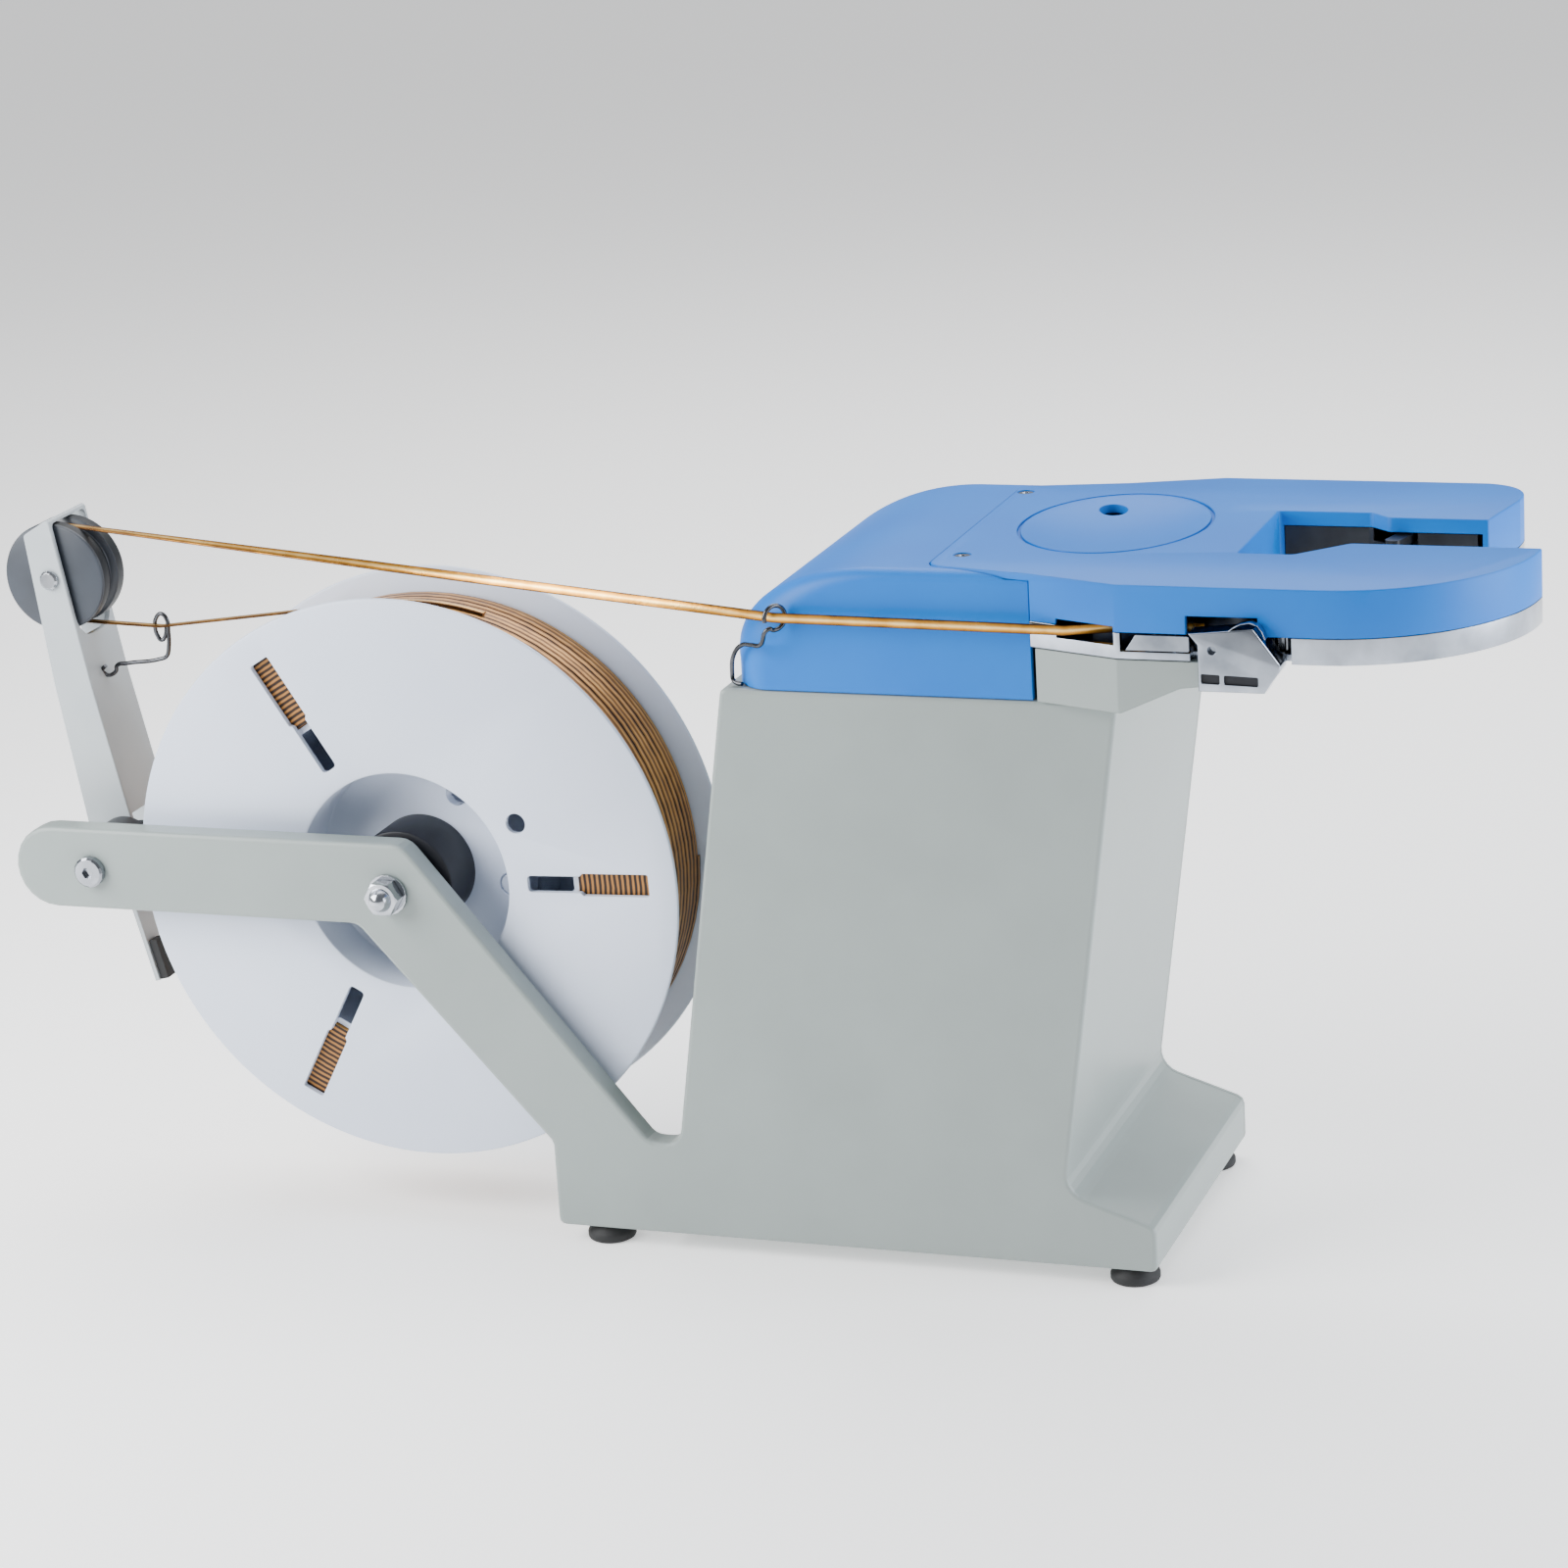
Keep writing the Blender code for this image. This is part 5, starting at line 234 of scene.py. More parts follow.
# %% Black and slate plastics, and rubber
MATT = {"Specular IOR Level": 0.3}
hub_black = finish("moulded_nylon_black", "15161B", "1D1F26", 20, 0.42, 0.5, 0.012, more=MATT)
pulley_slate = finish("machined_acetal_slate", "272D36", "2E353F", 18, 0.45, 0.7, 0.01)
foot_rubber = finish("moulded_rubber_black", "131415", "1C1D1F", 9, 0.7, 0.8, 0.03)
belt_rubber = finish("belt_rubber", "1A1B1D", "222326", 8, 0.75, 0.6, 0.03)
liner_graphite = finish("blackened_steel_liner", "202328", "2B2F35", 12, 0.4, 0.5, 0.01, metallic=0.4)
motor_paint = finish("motor_enamel_black", "1A1B1D", "222326", 30, 0.35, 0.9, 0.01)
board_resin = finish("circuit_board_resin", "24513A", "2C6046", 14, 0.4, 0.5, 0.01)

# %% [markdown]
# Several metals show. The fasteners are nickel plated and act as small
# mirrors; the fork's plate and the clamp are polished stainless steel; the
# wire guides and the spring are spring wire; the blocks inside are bare cast
# aluminium. Each keeps a metal's own reflection and differs in roughness and
# in its fine grain.

# %% Metals
bright_nickel = finish("nickel_plate", "B4B8BE", "8E9299", 14, 0.16, 0.9, 0.006, 0.25, 1.0)
polished_steel = finish("polished_stainless_steel", "B2B9C4", "7E858F", 30, 0.12, 3.0, 0.004, 0.3, 1.0)
spring_wire = finish("spring_steel_wire", "3C3D40", "56585C", 10, 0.25, 0.5, 0.004, 0.1, 1.0)
yellow_brass = finish("turned_brass", "C39E50", "B8934A", 8, 0.28, 0.5, 0.005, 0.15, 1.0)
cast_block = finish("cast_aluminium_block", "9EA3A8", "A8ACB0", 12, 0.45, 0.8, 0.03, 0.3, 1.0)

# %% [markdown]
# The tie is a thin steel wire sealed between two strips of film with a
# metallised gold layer. The wire stands up as a ridge along the middle. The
# strip's mesh says how far each point lies from the wire, and a ramp on that
# paints a highlight along the ridge and painted shade at the edges, where the
# film falls away. The film also creases as it is wound, and the creases break
# the painted highlight up. Where the reel's windows show the winding from the
# side, only the strips' edges are seen, layer on layer. The layers are 0.8 mm
# thick, too fine for the picture, so they are drawn 2.2 mm apart.

# %% Gold film of the tie


def film(name, ridge_highlight, middle, edge, roughness, metallic):
    """The tie's film: a painted highlight along the ridge over the wire, a middle tone and painted shade at
    the edges.
    """
    made = finish(name, middle, middle, 6, roughness, 1.6, 0.05, 0.1, metallic)
    tree = made.node_tree
    shader = tree.nodes["Principled BSDF"]
    off_wire = add(tree, "ShaderNodeAttribute", attribute_name="off_wire")
    place = add(tree, "ShaderNodeTexCoord").outputs["Object"]
    crease = add(tree, "ShaderNodeTexNoise", {"Vector": place, "Scale": 1 / (9 * MM), "Detail": 3.0})
    shift = add(tree, "ShaderNodeMapRange", {"Value": crease.outputs["Fac"], "To Min": -0.3, "To Max": 0.3})
    terms = {0: off_wire.outputs["Fac"], 1: shift.outputs["Result"]}
    moved = add(tree, "ShaderNodeMath", terms, operation="ADD").outputs["Value"]
    # painted light: a painted highlight on the ridge and painted shade at the edges, moved about by the
    # creases
    shades = graded(tree, moved, (0.0, ridge_highlight), (0.95, edge), (0.4, middle))
    tree.links.new(shades, shader.inputs["Base Color"])
    return made


# In each film the first colour is a painted highlight and the last a painted shade.
tie_gold = film("metallised_film_gold", "FFD98A", "C98A2E", "4A2E12", 0.28, 0.85)
tie_wound = film("metallised_film_wound", "D9A45C", "A06A2C", "2E1C0C", 0.36, 0.6)

LAYER_MM, WAVES_PER_UNIT = 2.2, 20
tie_edges = finish("metallised_film_edges", "8A5E2C", "6E4820", 6, 0.45, 1.4, 0.05, 0.1, 0.4)
tree = tie_edges.node_tree
reel_low, reel_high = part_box("reel_near_half")
axle = (reel_low + reel_high) / 2
place = add(tree, "ShaderNodeTexCoord").outputs["Object"]
centred = add(tree, "ShaderNodeMapping", {"Vector": place, "Location": -axle})
rings = {
    "Vector": centred.outputs["Vector"], "Scale": math.tau / (WAVES_PER_UNIT * LAYER_MM * MM),
    "Distortion": 1.2, "Detail": 2.0,
}
layers = add(tree, "ShaderNodeTexWave", rings, wave_type="RINGS", rings_direction="Y").outputs["Fac"]
shades = graded(tree, layers, (0.3, "1E120A"), (0.9, "A06C34"))
tree.links.new(shades, tree.nodes["Principled BSDF"].inputs["Base Color"])
print("film of the tie, free, wound and seen on edge")

# %% [markdown]
# Every solid of the frame now gets the finish of what it is made of. The
# table below goes from finish to solids, as a paint shop would sort them.

# %% Give the solids their finishes
FINISHED = {
    powder_coat: ["body_casting", "side_cover", "head_chin"],
    lever_coat: ["tension_lever"],
    cover_blue: ["rear_cover", "front_cover"],
    reel_white: ["reel_near_half", "reel_far_half"],
    hub_black: [
        "reel_hub", "reel_lock_knob", "lever_bush", "power_inlet", "switch_housing", "switch_rocker",
    ],
    pulley_slate: ["lever_pulley"],
    foot_rubber: ["foot_rear_near", "foot_front_near", "foot_rear_far", "foot_front_far", "brake_pad"],
    belt_rubber: ["drive_belt"],
    liner_graphite: ["slot_liner", "bag_trigger"],
    motor_paint: ["motor"],
    board_resin: ["circuit_board"],
    bright_nickel: [
        "shaft_nut", "shaft_washer", "reel_shaft", "lever_pivot_bolt", "pulley_axle", "cover_screw_near",
        "cover_screw_far", "needle_arm", "needle_rack", "needle_cam", "feed_roller_near", "feed_roller_far",
        "twister_hook", "twister_shaft", "main_shaft", "cam_shaft", "motor_shaft",
    ],
    polished_steel: ["base_plate", "feed_clamp"],
    spring_wire: ["rear_wire_guide", "lever_wire_guide", "lever_spring"],
    yellow_brass: ["drive_gear", "twister_pinion", "cam_pinion", "cam_gear"],
    cast_block: [
        "motor_pulley", "main_pulley", "motor_bracket", "rear_bearing_block", "front_bearing_block",
        "twister_bearing",
    ],
    tie_gold: ["tie_strand"],
    tie_wound: ["tie_winding", "tie_winding_core"],
}
for paint, names in FINISHED.items():
    for name in names:
        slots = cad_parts[name].data.materials
        slots.clear()
        slots.append(paint)
left = sorted(set(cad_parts) - {name for names in FINISHED.values() for name in names})
print(sum(len(names) for names in FINISHED.values()), "solids finished, left", left)

# %% [markdown]
# The solids of the frame are exact in size, but they are cut into few facets,
# and a long lens shows that on every rim. So what the eye meets first is made
# again here, finer, on the same lines. All of it is drawn in millimetres from
# one corner of the drawing: the reel's axis, the near face of the stand and
# the floor. Three small helpers carry this out. One puts a drawing's point in
# the frame, one turns a mesh into a piece that rides a body, and one cuts. A
# cut leaves slivers and needless lines, which would show as streaks in smooth
# shading, so it dissolves them. It first sorts the mesh along a slanted line,
# because a cut comes out in another order on each run. Even so, a few lines on
# flat faces come and go. Each piece also carries its finishes, so that someone
# else can repaint it.

# %% From the drawing to a piece
reel_low, reel_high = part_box("reel_near_half")
stand_low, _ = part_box("body_casting")
ZERO = Vector(((reel_low.x + reel_high.x) / 2, stand_low.y, 0))


def at(x, y, z):
    """A point of the drawing, in millimetres, as a place in the frame."""
    return ZERO + Vector((x, y, z)) * MM


def piece(name, bm, paints, body, *replaced, sharp=35):
    """A finished mesh as an object of its own, smooth but for edges sharper than an angle."""
    for face in bm.faces:
        face.smooth = True
    for edge in bm.edges:
        edge.smooth = len(edge.link_faces) == 2 and edge.calc_face_angle(0) < math.radians(sharp)
    mesh = bpy.data.meshes.new(name)
    bm.to_mesh(mesh)
    bm.free()
    for paint in paints:
        mesh.materials.append(paint)
    made = bpy.data.objects.new(name, mesh)
    bpy.context.scene.collection.objects.link(made)
    if body:
        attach(made, body)
    if replaced:
        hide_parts(*replaced)
    return made


SORT_LINE, SORT_DIGITS = Vector((1.0, 1.7321, 2.2361)), 7
SLIVER_MM, FLAT_WITHIN = 0.004, math.radians(0.3)


def carve(bm, tools, operation="DIFFERENCE"):
    """A mesh with other meshes cut away, or joined on, as a new mesh."""
    target = piece("carved", bm, [], None)
    cutters = [piece("tool", tool, [], None) for tool in tools]
    for cutter in cutters:
        step = target.modifiers.new("carve", "BOOLEAN")
        step.operation = operation
        step.solver = "EXACT"
        step.object = cutter
    bpy.context.view_layer.update()
    result = bmesh.new()
    result.from_object(target, bpy.context.evaluated_depsgraph_get())
    for spent in [target, *cutters]:
        bpy.data.objects.remove(spent, do_unlink=True)
    result.verts.sort(key=lambda v: round(v.co.dot(SORT_LINE), SORT_DIGITS))
    result.edges.sort(key=lambda e: round((e.verts[0].co + e.verts[1].co).dot(SORT_LINE), SORT_DIGITS))
    result.faces.sort(key=lambda f: round(f.calc_center_median().dot(SORT_LINE), SORT_DIGITS))
    bmesh.ops.dissolve_degenerate(result, dist=SLIVER_MM * MM, edges=result.edges)
    bmesh.ops.dissolve_limit(
        result, angle_limit=FLAT_WITHIN, use_dissolve_boundaries=False,
        verts=result.verts, edges=result.edges,
    )
    return result


MERGE_MM = 0.001


def facing_out(bm):
    """Merged, with every face pointing outwards."""
    bmesh.ops.remove_doubles(bm, verts=bm.verts, dist=MERGE_MM * MM)
    bmesh.ops.recalc_face_normals(bm, faces=bm.faces)
    return bm


print("zero of the drawing", [round(v / MM, 2) for v in ZERO])

# %% [markdown]
# A turned part, such as a reel or a wheel, is one outline spun about an axis.
# The outline is a string of points given as radius and depth, and the spin is
# merged where it closes. The flat parts of this machine are outlines of a
# different kind: corners, each with its own round, drawn as one face, rounded
# with a vertex bevel and then extruded.


# %% Spun and flat shapes
def spun(profile, x, z, steps, axis="Y", y=0.0):
    """A closed outline of (radius, distance along the axis) turned about the axis."""
    bm = bmesh.new()
    places = {
        "Y": lambda r, d: at(x, d, z + r),
        "X": lambda r, d: at(d, y, z + r),
        "Z": lambda r, d: at(x + r, y, d),
    }
    verts = [bm.verts.new(places[axis](r, d)) for r, d in profile]
    edges = [bm.edges.new((verts[i - 1], verts[i])) for i in range(len(verts))]
    turn = {"Y": (0, 1, 0), "X": (1, 0, 0), "Z": (0, 0, 1)}[axis]
    bmesh.ops.spin(
        bm, geom=verts + edges, cent=at(x, y, z), axis=turn, angle=math.tau, steps=steps, use_merge=True
    )
    return facing_out(bm)


def rounded(bm, geometry, width, segments, affect):
    """The chosen corners or edges of a mesh made round, a width in millimetres to each side."""
    bmesh.ops.bevel(
        bm, geom=geometry, offset=width * MM, offset_type="OFFSET", segments=segments,
        profile=0.5, affect=affect, clamp_overlap=False, material=-1,
    )
    return bm


def flat(corners, axis, low, high, segments=10):
    """Corners (u, v, round) as a plate from low to high along an axis."""
    places = {
        "Y": lambda u, v: at(u, low, v),
        "Z": lambda u, v: at(u, v, low),
    }
    bm = bmesh.new()
    verts = [bm.verts.new(places[axis](u, v)) for u, v, _ in corners]
    bm.faces.new(verts)
    for i, (_, _, radius) in enumerate(corners):
        if radius:
            u, v = corners[i][:2]
            one = Vector(corners[i - 1][:2]) - Vector((u, v))
            two = Vector(corners[(i + 1) % len(corners)][:2]) - Vector((u, v))
            rounded(bm, [verts[i]], radius / math.tan(one.angle(two) / 2), segments, "VERTICES")
    lift = {"Y": (0, 1, 0), "Z": (0, 0, 1)}[axis]
    grown = bmesh.ops.extrude_face_region(bm, geom=bm.faces[:])
    tops = [item for item in grown["geom"] if isinstance(item, bmesh.types.BMVert)]
    bmesh.ops.translate(bm, verts=tops, vec=Vector(lift) * (high - low) * MM)
    return facing_out(bm)


SHARP_ANGLE = 0.5


def eased(bm, width, chosen, segments):
    """The chosen sharp edges rounded by a width in millimetres."""
    sharp = [e for e in bm.edges if len(e.link_faces) == 2 and e.calc_face_angle(0) > SHARP_ANGLE]
    return rounded(bm, [e for e in sharp if chosen(e)], width, segments, "EDGES")


def level(height):
    """A test that is true for edges at a height in millimetres."""
    return lambda edge: all(abs(v.co.z - height * MM) < 0.01 * MM for v in edge.verts)


print("helpers for spun and flat shapes")

# %% [markdown]
# The reel is two moulded halves, each a thin flange with a cup sunk into its
# middle. Three bottle-shaped windows show how much tie is left, and a small
# hole beside them takes the end of a new roll. The cup's floor has three holes
# and the ring left by the moulding gate. Each half is one outline spun in 160
# steps, so that the rim stays round even close up, and then cut.

# %% Reel halves
REEL_Z, REEL_NEAR, REEL_FAR = 147.4, 16.0, 72.7
FLANGE, RIM, CUP, CUP_DEPTH, WEB, CORE, BORE = 2.5, 120.0, 46.0, 21.5, 5.0, 76.0, 17.5
WINDOW = [(55, 3.5, 1.7), (78, 3.5, 0), (79.25, 4.75, 0), (108, 4.75, 0.9)]
WINDOW_DEGREES, CUP_HOLE_DEGREES, CUP_HOLE = (2, 122, 242), (62, 182, 302), (5, 36)
START_HOLE = (4.25, 58.5, math.radians(28))
GATE_INNER, GATE_OUTER, GATE_DEPTH, GATE_REACH, GATE_ANGLE = 4.2, 5, 1.2, 38.5, math.radians(-9)
REEL_STEPS, REEL_MIDDLE, MEETING_GAP = 160, 44.35, 0.15


def bottle(angle, low, high):
    """A window's cutter: a narrow neck that steps out to a wider body."""
    side = [(r, -h, c) for r, h, c in WINDOW] + [(r, h, c) for r, h, c in reversed(WINDOW)]
    cosine, sine = math.cos(angle), math.sin(angle)
    corners = [(u * cosine - v * sine, REEL_Z + u * sine + v * cosine, c) for u, v, c in side]
    return flat(corners, "Y", low, high, 5)


def hole(radius, reach, angle, low, high):
    """A round cutter through a flange or a web, at a reach and an angle from the axis."""
    x, z = reach * math.cos(angle), REEL_Z + reach * math.sin(angle)
    return spun([(0, low), (radius, low), (radius, high), (0, high)], x, z, 28)


for name, face, way in (("reel_near_half", REEL_NEAR, 1), ("reel_far_half", REEL_FAR, -1)):
    inner, web, middle = face + way * FLANGE, face + way * CUP_DEPTH, REEL_MIDDLE - way * MEETING_GAP
    outline = [
        (BORE, web), (CUP - 1.2, web), (CUP - 0.35, web - way * 0.35), (CUP, web - way * 1.2),
        (CUP, face + way * 1.4), (CUP + 0.4, face + way * 0.4), (CUP + 1.4, face),
        (RIM - 1.2, face), (RIM - 0.35, face + way * 0.35), (RIM, face + way * 1.25),
        (RIM - 0.35, inner - way * 0.35), (RIM - 1.2, inner), (CORE, inner), (CORE, middle),
        (CORE - FLANGE, middle), (CORE - FLANGE, inner), (CUP + FLANGE, inner),
        (CUP + FLANGE, web + way * WEB), (BORE, web + way * WEB),
    ]
    through = sorted((face - way * 2, inner + way * 2))
    sunk = sorted((web - way * 2, web + way * (WEB + 2)))
    tools = [bottle(math.radians(turn), *through) for turn in WINDOW_DEGREES]
    tools += [hole(*CUP_HOLE, math.radians(turn), *sunk) for turn in CUP_HOLE_DEGREES]
    over, under = web - way, web + way * GATE_DEPTH
    ring = [(GATE_INNER, over), (GATE_OUTER, over), (GATE_OUTER, under), (GATE_INNER, under)]
    gate_z = REEL_Z + GATE_REACH * math.sin(GATE_ANGLE)
    tools.append(spun(ring, GATE_REACH * math.cos(GATE_ANGLE), gate_z, 32))
    tools.append(hole(*START_HOLE, *through))
    half = carve(spun(outline, 0, REEL_Z, REEL_STEPS), tools)
    made = piece(name + "_turned", half, [reel_white], "reel", name)
    print(made.name, len(made.data.polygons), "faces")

# %% [markdown]
# The tie is wound like thread on a bobbin: strand beside strand, layer on
# layer. Only the outermost layer and its edges show, so a smooth core stands
# for the rest, and round it goes one unbroken strip that steps sideways by
# its own width each turn, pressed flat by the pull that wound it. It sways by
# a fraction of a millimetre, as no tie is laid quite true. Every point of the
# strip keeps how far it lies from the strip's middle, so that the finish can
# follow the wire inside it round the reel.

# %% Wound tie
WOUND_RADIUS, STRIP_WIDTH, STRIP = 110.0, 4.0, 0.8


def ribbon(stations, width, thick):
    """A flat strip with rounded edges along stations (place, side), both ends closed."""
    bm = bmesh.new()
    off_wire = bm.verts.layers.float.new("off_wire")
    section = [(-1, -0.35), (-0.86, -1), (-0.3, -1), (0, -1.25), (0.3, -1), (0.86, -1), (1, -0.35)]
    section += [(-u, -v) for u, v in section]
    loops = []
    for i, (place, side) in enumerate(stations):
        before, after = stations[max(i - 1, 0)][0], stations[min(i + 1, len(stations) - 1)][0]
        along = (after - before).normalized()
        across = (side - along * side.dot(along)).normalized()
        up = along.cross(across)
        half, deep = width * MM / 2, thick * MM / 2
        ring = []
        for u, v in section:
            ring.append(bm.verts.new(place + across * half * u + up * deep * v))
            ring[-1][off_wire] = abs(u)
        loops.append([bm.edges.new((ring[k - 1], ring[k])) for k in range(len(ring))])
    for one, two in zip(loops, loops[1:]):
        bmesh.ops.bridge_loops(bm, edges=one + two)
    bmesh.ops.contextual_create(bm, geom=loops[0])
    bmesh.ops.contextual_create(bm, geom=loops[-1])
    return facing_out(bm)


CORE_LOW, CORE_HIGH, CORE_INNER, CORE_OUTER = 18.8, 69.9, 76.4, 108.6
TURNS, TURN_STEPS, LAID_WIDTH, SPARE = 12, 72, 4.05, 0.3
ACROSS = Vector((0, 1, 0))
layer_low, layer_high = CORE_LOW + STRIP_WIDTH / 2, CORE_HIGH - STRIP_WIDTH / 2
wound = []
for k in range(TURNS * TURN_STEPS + 1):
    angle = math.tau * k / TURN_STEPS
    sway = 0.22 * math.sin(angle * 2.3) + 0.12 * math.sin(angle * 5.1)
    radius = WOUND_RADIUS - STRIP / 2 - 0.12 + 0.1 * math.sin(angle * 1.7)
    y = layer_low + SPARE + (layer_high - layer_low - 2 * SPARE) * k / (TURNS * TURN_STEPS) + sway
    wound.append((at(radius * math.cos(angle), y, REEL_Z + radius * math.sin(angle)), ACROSS))
# The wound strip carries the film's painted highlight and painted shade along off_wire.
outer = piece("tie_outer_layer", ribbon(wound, LAID_WIDTH, STRIP), [tie_wound], "reel", "tie_winding")
block_of_turns = [
    (CORE_INNER, CORE_LOW), (CORE_OUTER, CORE_LOW), (CORE_OUTER, CORE_HIGH), (CORE_INNER, CORE_HIGH),
]
core = spun(block_of_turns, 0, REEL_Z, REEL_STEPS)
for face in core.faces:
    face.material_index = int(abs(face.normal.y) > 0.5)
piece("tie_inner_layers", core, [tie_wound, tie_edges], "reel", "tie_winding_core")
print("wound tie", TURNS, "turns,", len(outer.data.polygons), "faces")

# %% [markdown]
# The free strand leaves the winding at a tangent, passes the lever's wire eye,
# goes round the pulley and runs back over the reel to the head. It is pulled
# taut by the lever's spring, so its runs are straight. The runs cross the
# lever's joint, so each is a piece of its own.

# %% Free strand
EYE_X, EYE_Y, EYE_Z, WHEEL_X, WHEEL_Z, STRAND_Y = -119.0, 51.5, 242.7, -160.5, 265.7, 48.55
HEAD_EYE, GROOVE_REACH, LYING, ABOVE_TURNS = (177.0, -5.6, 271.0), 20.7, math.radians(24), 0.3
INLET_X, INLET_Y, ROLLERS_Y, FEED_Z = 293.0, -6.4, 3.6, 270.0
wound_reach = WOUND_RADIUS + ABOVE_TURNS + STRIP / 2
eye_reach = math.hypot(EYE_X, EYE_Z - REEL_Z)
leave = math.atan2(EYE_Z - REEL_Z, EYE_X) - math.acos(wound_reach / eye_reach)
lower = []
for k in range(13):
    angle = leave - LYING * (1 - k / 12)
    x, z = wound_reach * math.cos(angle), REEL_Z + wound_reach * math.sin(angle)
    lower.append((at(x, STRAND_Y, z), ACROSS))
tangent = lower[-1][0]
eye = at(EYE_X, EYE_Y, EYE_Z)
for k in range(1, 13):
    lower.append((tangent.lerp(eye, k / 12), ACROSS))
wheel, head_eye = at(WHEEL_X, STRAND_Y, WHEEL_Z), at(*HEAD_EYE)


def grazing(x, z):
    """A point's bearing from the pulley, and the angle from it to where a taut line meets the groove."""
    along, rise = x - WHEEL_X, z - WHEEL_Z
    return math.atan2(rise, along), math.acos(GROOVE_REACH / math.hypot(along, rise))


bearing, spread = grazing(EYE_X, EYE_Z)
first = bearing - spread
bearing, spread = grazing(HEAD_EYE[0], HEAD_EYE[2])
last = bearing + spread
wrap = []
for k in range(41):
    angle = first - (math.tau - last + first) * k / 40
    wrap.append((wheel + Vector((math.cos(angle), 0, math.sin(angle))) * GROOVE_REACH * MM, ACROSS))
for k in range(1, 5):
    lower.append((eye.lerp(wrap[0][0], k / 5), ACROSS))
lower += wrap[:21]
upper = wrap[20:]
top = wrap[-1][0]
for k in range(1, 41):
    twist = math.pi / 2 * k / 40
    upper.append((top.lerp(head_eye, k / 40), Vector((0, math.cos(twist), math.sin(twist)))))
entry = at(INLET_X, INLET_Y, FEED_Z)
before, rollers, beyond = (at(x, ROLLERS_Y, FEED_Z) for x in (319.0, 332.0, 345.0))
upright = Vector((0, 0, 1))
for one, two in ((head_eye, entry), (entry, before), (before, rollers), (rollers, beyond)):
    for k in range(1, 9):
        upper.append((one.lerp(two, k / 8), upright))
lower_run = piece("tie_lower_run", ribbon(lower, STRIP_WIDTH, STRIP), [tie_gold], None, "tie_strand")
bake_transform(lower_run)
upper_run = piece("tie_upper_run", ribbon(upper, STRIP_WIDTH, STRIP), [tie_gold], None, "tie_strand")
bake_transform(upper_run)
free_length = sum((b[0] - a[0]).length for line in (lower, upper) for a, b in zip(line, line[1:]))
print("free strand", round(free_length / MM), "mm")

# %% [markdown]
# The head is a fork seen from above: a nose on the near side, a shorter prong
# on the far side and a slot between them that runs back to the tying pocket.
# The blue cover, the steel plate under it and the hollow inside all follow
# this one outline, so it is written once, and moved inwards where a wall or a
# clearance needs it.

# %% Outline of the fork
HEAD_TOP, SKIRT_LOW, PLATE_TOP, PLATE_LOW = 290.3, 271.9, 271.6, 261.5
WIDTH, NEAR, FAR, NECK, WALL, LIP = 146.0, -13.2, 159.2, 278.0, 2.5, 284.5
FORK = [
    (NECK, -1.0, 0), (315.0, NEAR, 0), (457.2, NEAR, 71.0), (462.3, 57.5, 1.0), (389.0, 57.5, 4.0),
    (371.0, 38.5, 4.0), (349.5, 38.5, 1.5), (349.5, 106.0, 1.5), (387.0, 106.0, 4.0), (395.0, 99.0, 4.0),
    (434.0, 99.0, 1.0), (440.0, 132.0, 4.0), (440.0, FAR, 20.0), (315.0, FAR, 0), (NECK, WIDTH + 1.0, 0),
]
HULL = FORK[:4] + FORK[10:]
OVER = HEAD_TOP + 2
TONGUE = [(235.0, WIDTH - 8.0, 8.0), (235.0, 8.0, 8.0)]


def inside(corners, depth, rear):
    """An outline moved inwards by a depth, with its rear end drawn back to a line."""
    moved = []
    for i, (u, v, radius) in enumerate(corners):
        here = Vector((u, v))
        before = here - Vector(corners[i - 1][:2])
        after = Vector(corners[(i + 1) % len(corners)][:2]) - here
        left = Vector((-before.y, before.x)).normalized()
        middle = (left + Vector((-after.y, after.x)).normalized()).normalized()
        place = here + middle * (depth / middle.dot(left))
        convex = before.x * after.y - before.y * after.x > 0
        hollow = radius + depth if radius else 0
        moved.append((place.x, place.y, max(0, radius - depth) if convex else hollow))
    moved[0], moved[-1] = (rear, moved[0][1], 0), (rear, moved[-1][1], 0)
    return moved


def block(low, high):
    """A plain box between two corners, used only to cut with."""
    sides = [(low[0], low[1], 0), (high[0], low[1], 0), (high[0], high[1], 0), (low[0], high[1], 0)]
    return flat(sides, "Z", low[2], high[2])


def pin(x, y, radius, low, high):
    """An upright round bar."""
    return spun([(0, low), (radius, low), (radius, high), (0, high)], x, 0, 40, "Z", y)


print("fork outline of", len(FORK), "corners")

# %% [markdown]
# The front cover is a shell with a 2.5 mm wall. Its top edge is eased all
# round, as any casting is. In its top lies a wide oval dish, in which a thumb
# finds the hole over the twister. The dish is a shallow ball shape that is
# stretched to an oval, cut after a thicker floor was added under it, and a
# narrow groove runs round its rim and draws it as a fine dark line.

# %% Front cover
DISH_X, DISH_Y, DISH_RX, DISH_RY, DISH_DEPTH, DISH_RIM = 290.5, 80.0, 38.0, 49.0, 5.0, 1.6
DISH_STEPS, CURVE_STEPS, GROOVE_WIDTH, GROOVE_DEPTH = 144, 14, 1.4, 1.0
SCREWS, SCREW_RADIUS, SCREW_SUNK = ((244.5, 24.4), (239.7, 127.1)), 3.5, 1.2
INLET_FROM, INLET_TO, COVER_EDGE = 289.5, 314, 269.9


def dish(wall, top):
    """The dish as a solid, grown by a wall."""
    reach, depth = DISH_RX - DISH_RIM + wall, DISH_DEPTH
    ball = (reach**2 + depth**2) / (2 * depth)
    floor_z = HEAD_TOP - DISH_DEPTH - wall
    radii = [reach * k / CURVE_STEPS for k in range(CURVE_STEPS + 1)]
    curve = [(r, floor_z + ball - math.sqrt(ball**2 - r**2)) for r in radii]
    return stretched(spun([(0, top), *curve, (reach, top)], DISH_X, 0, DISH_STEPS, "Z", DISH_Y))


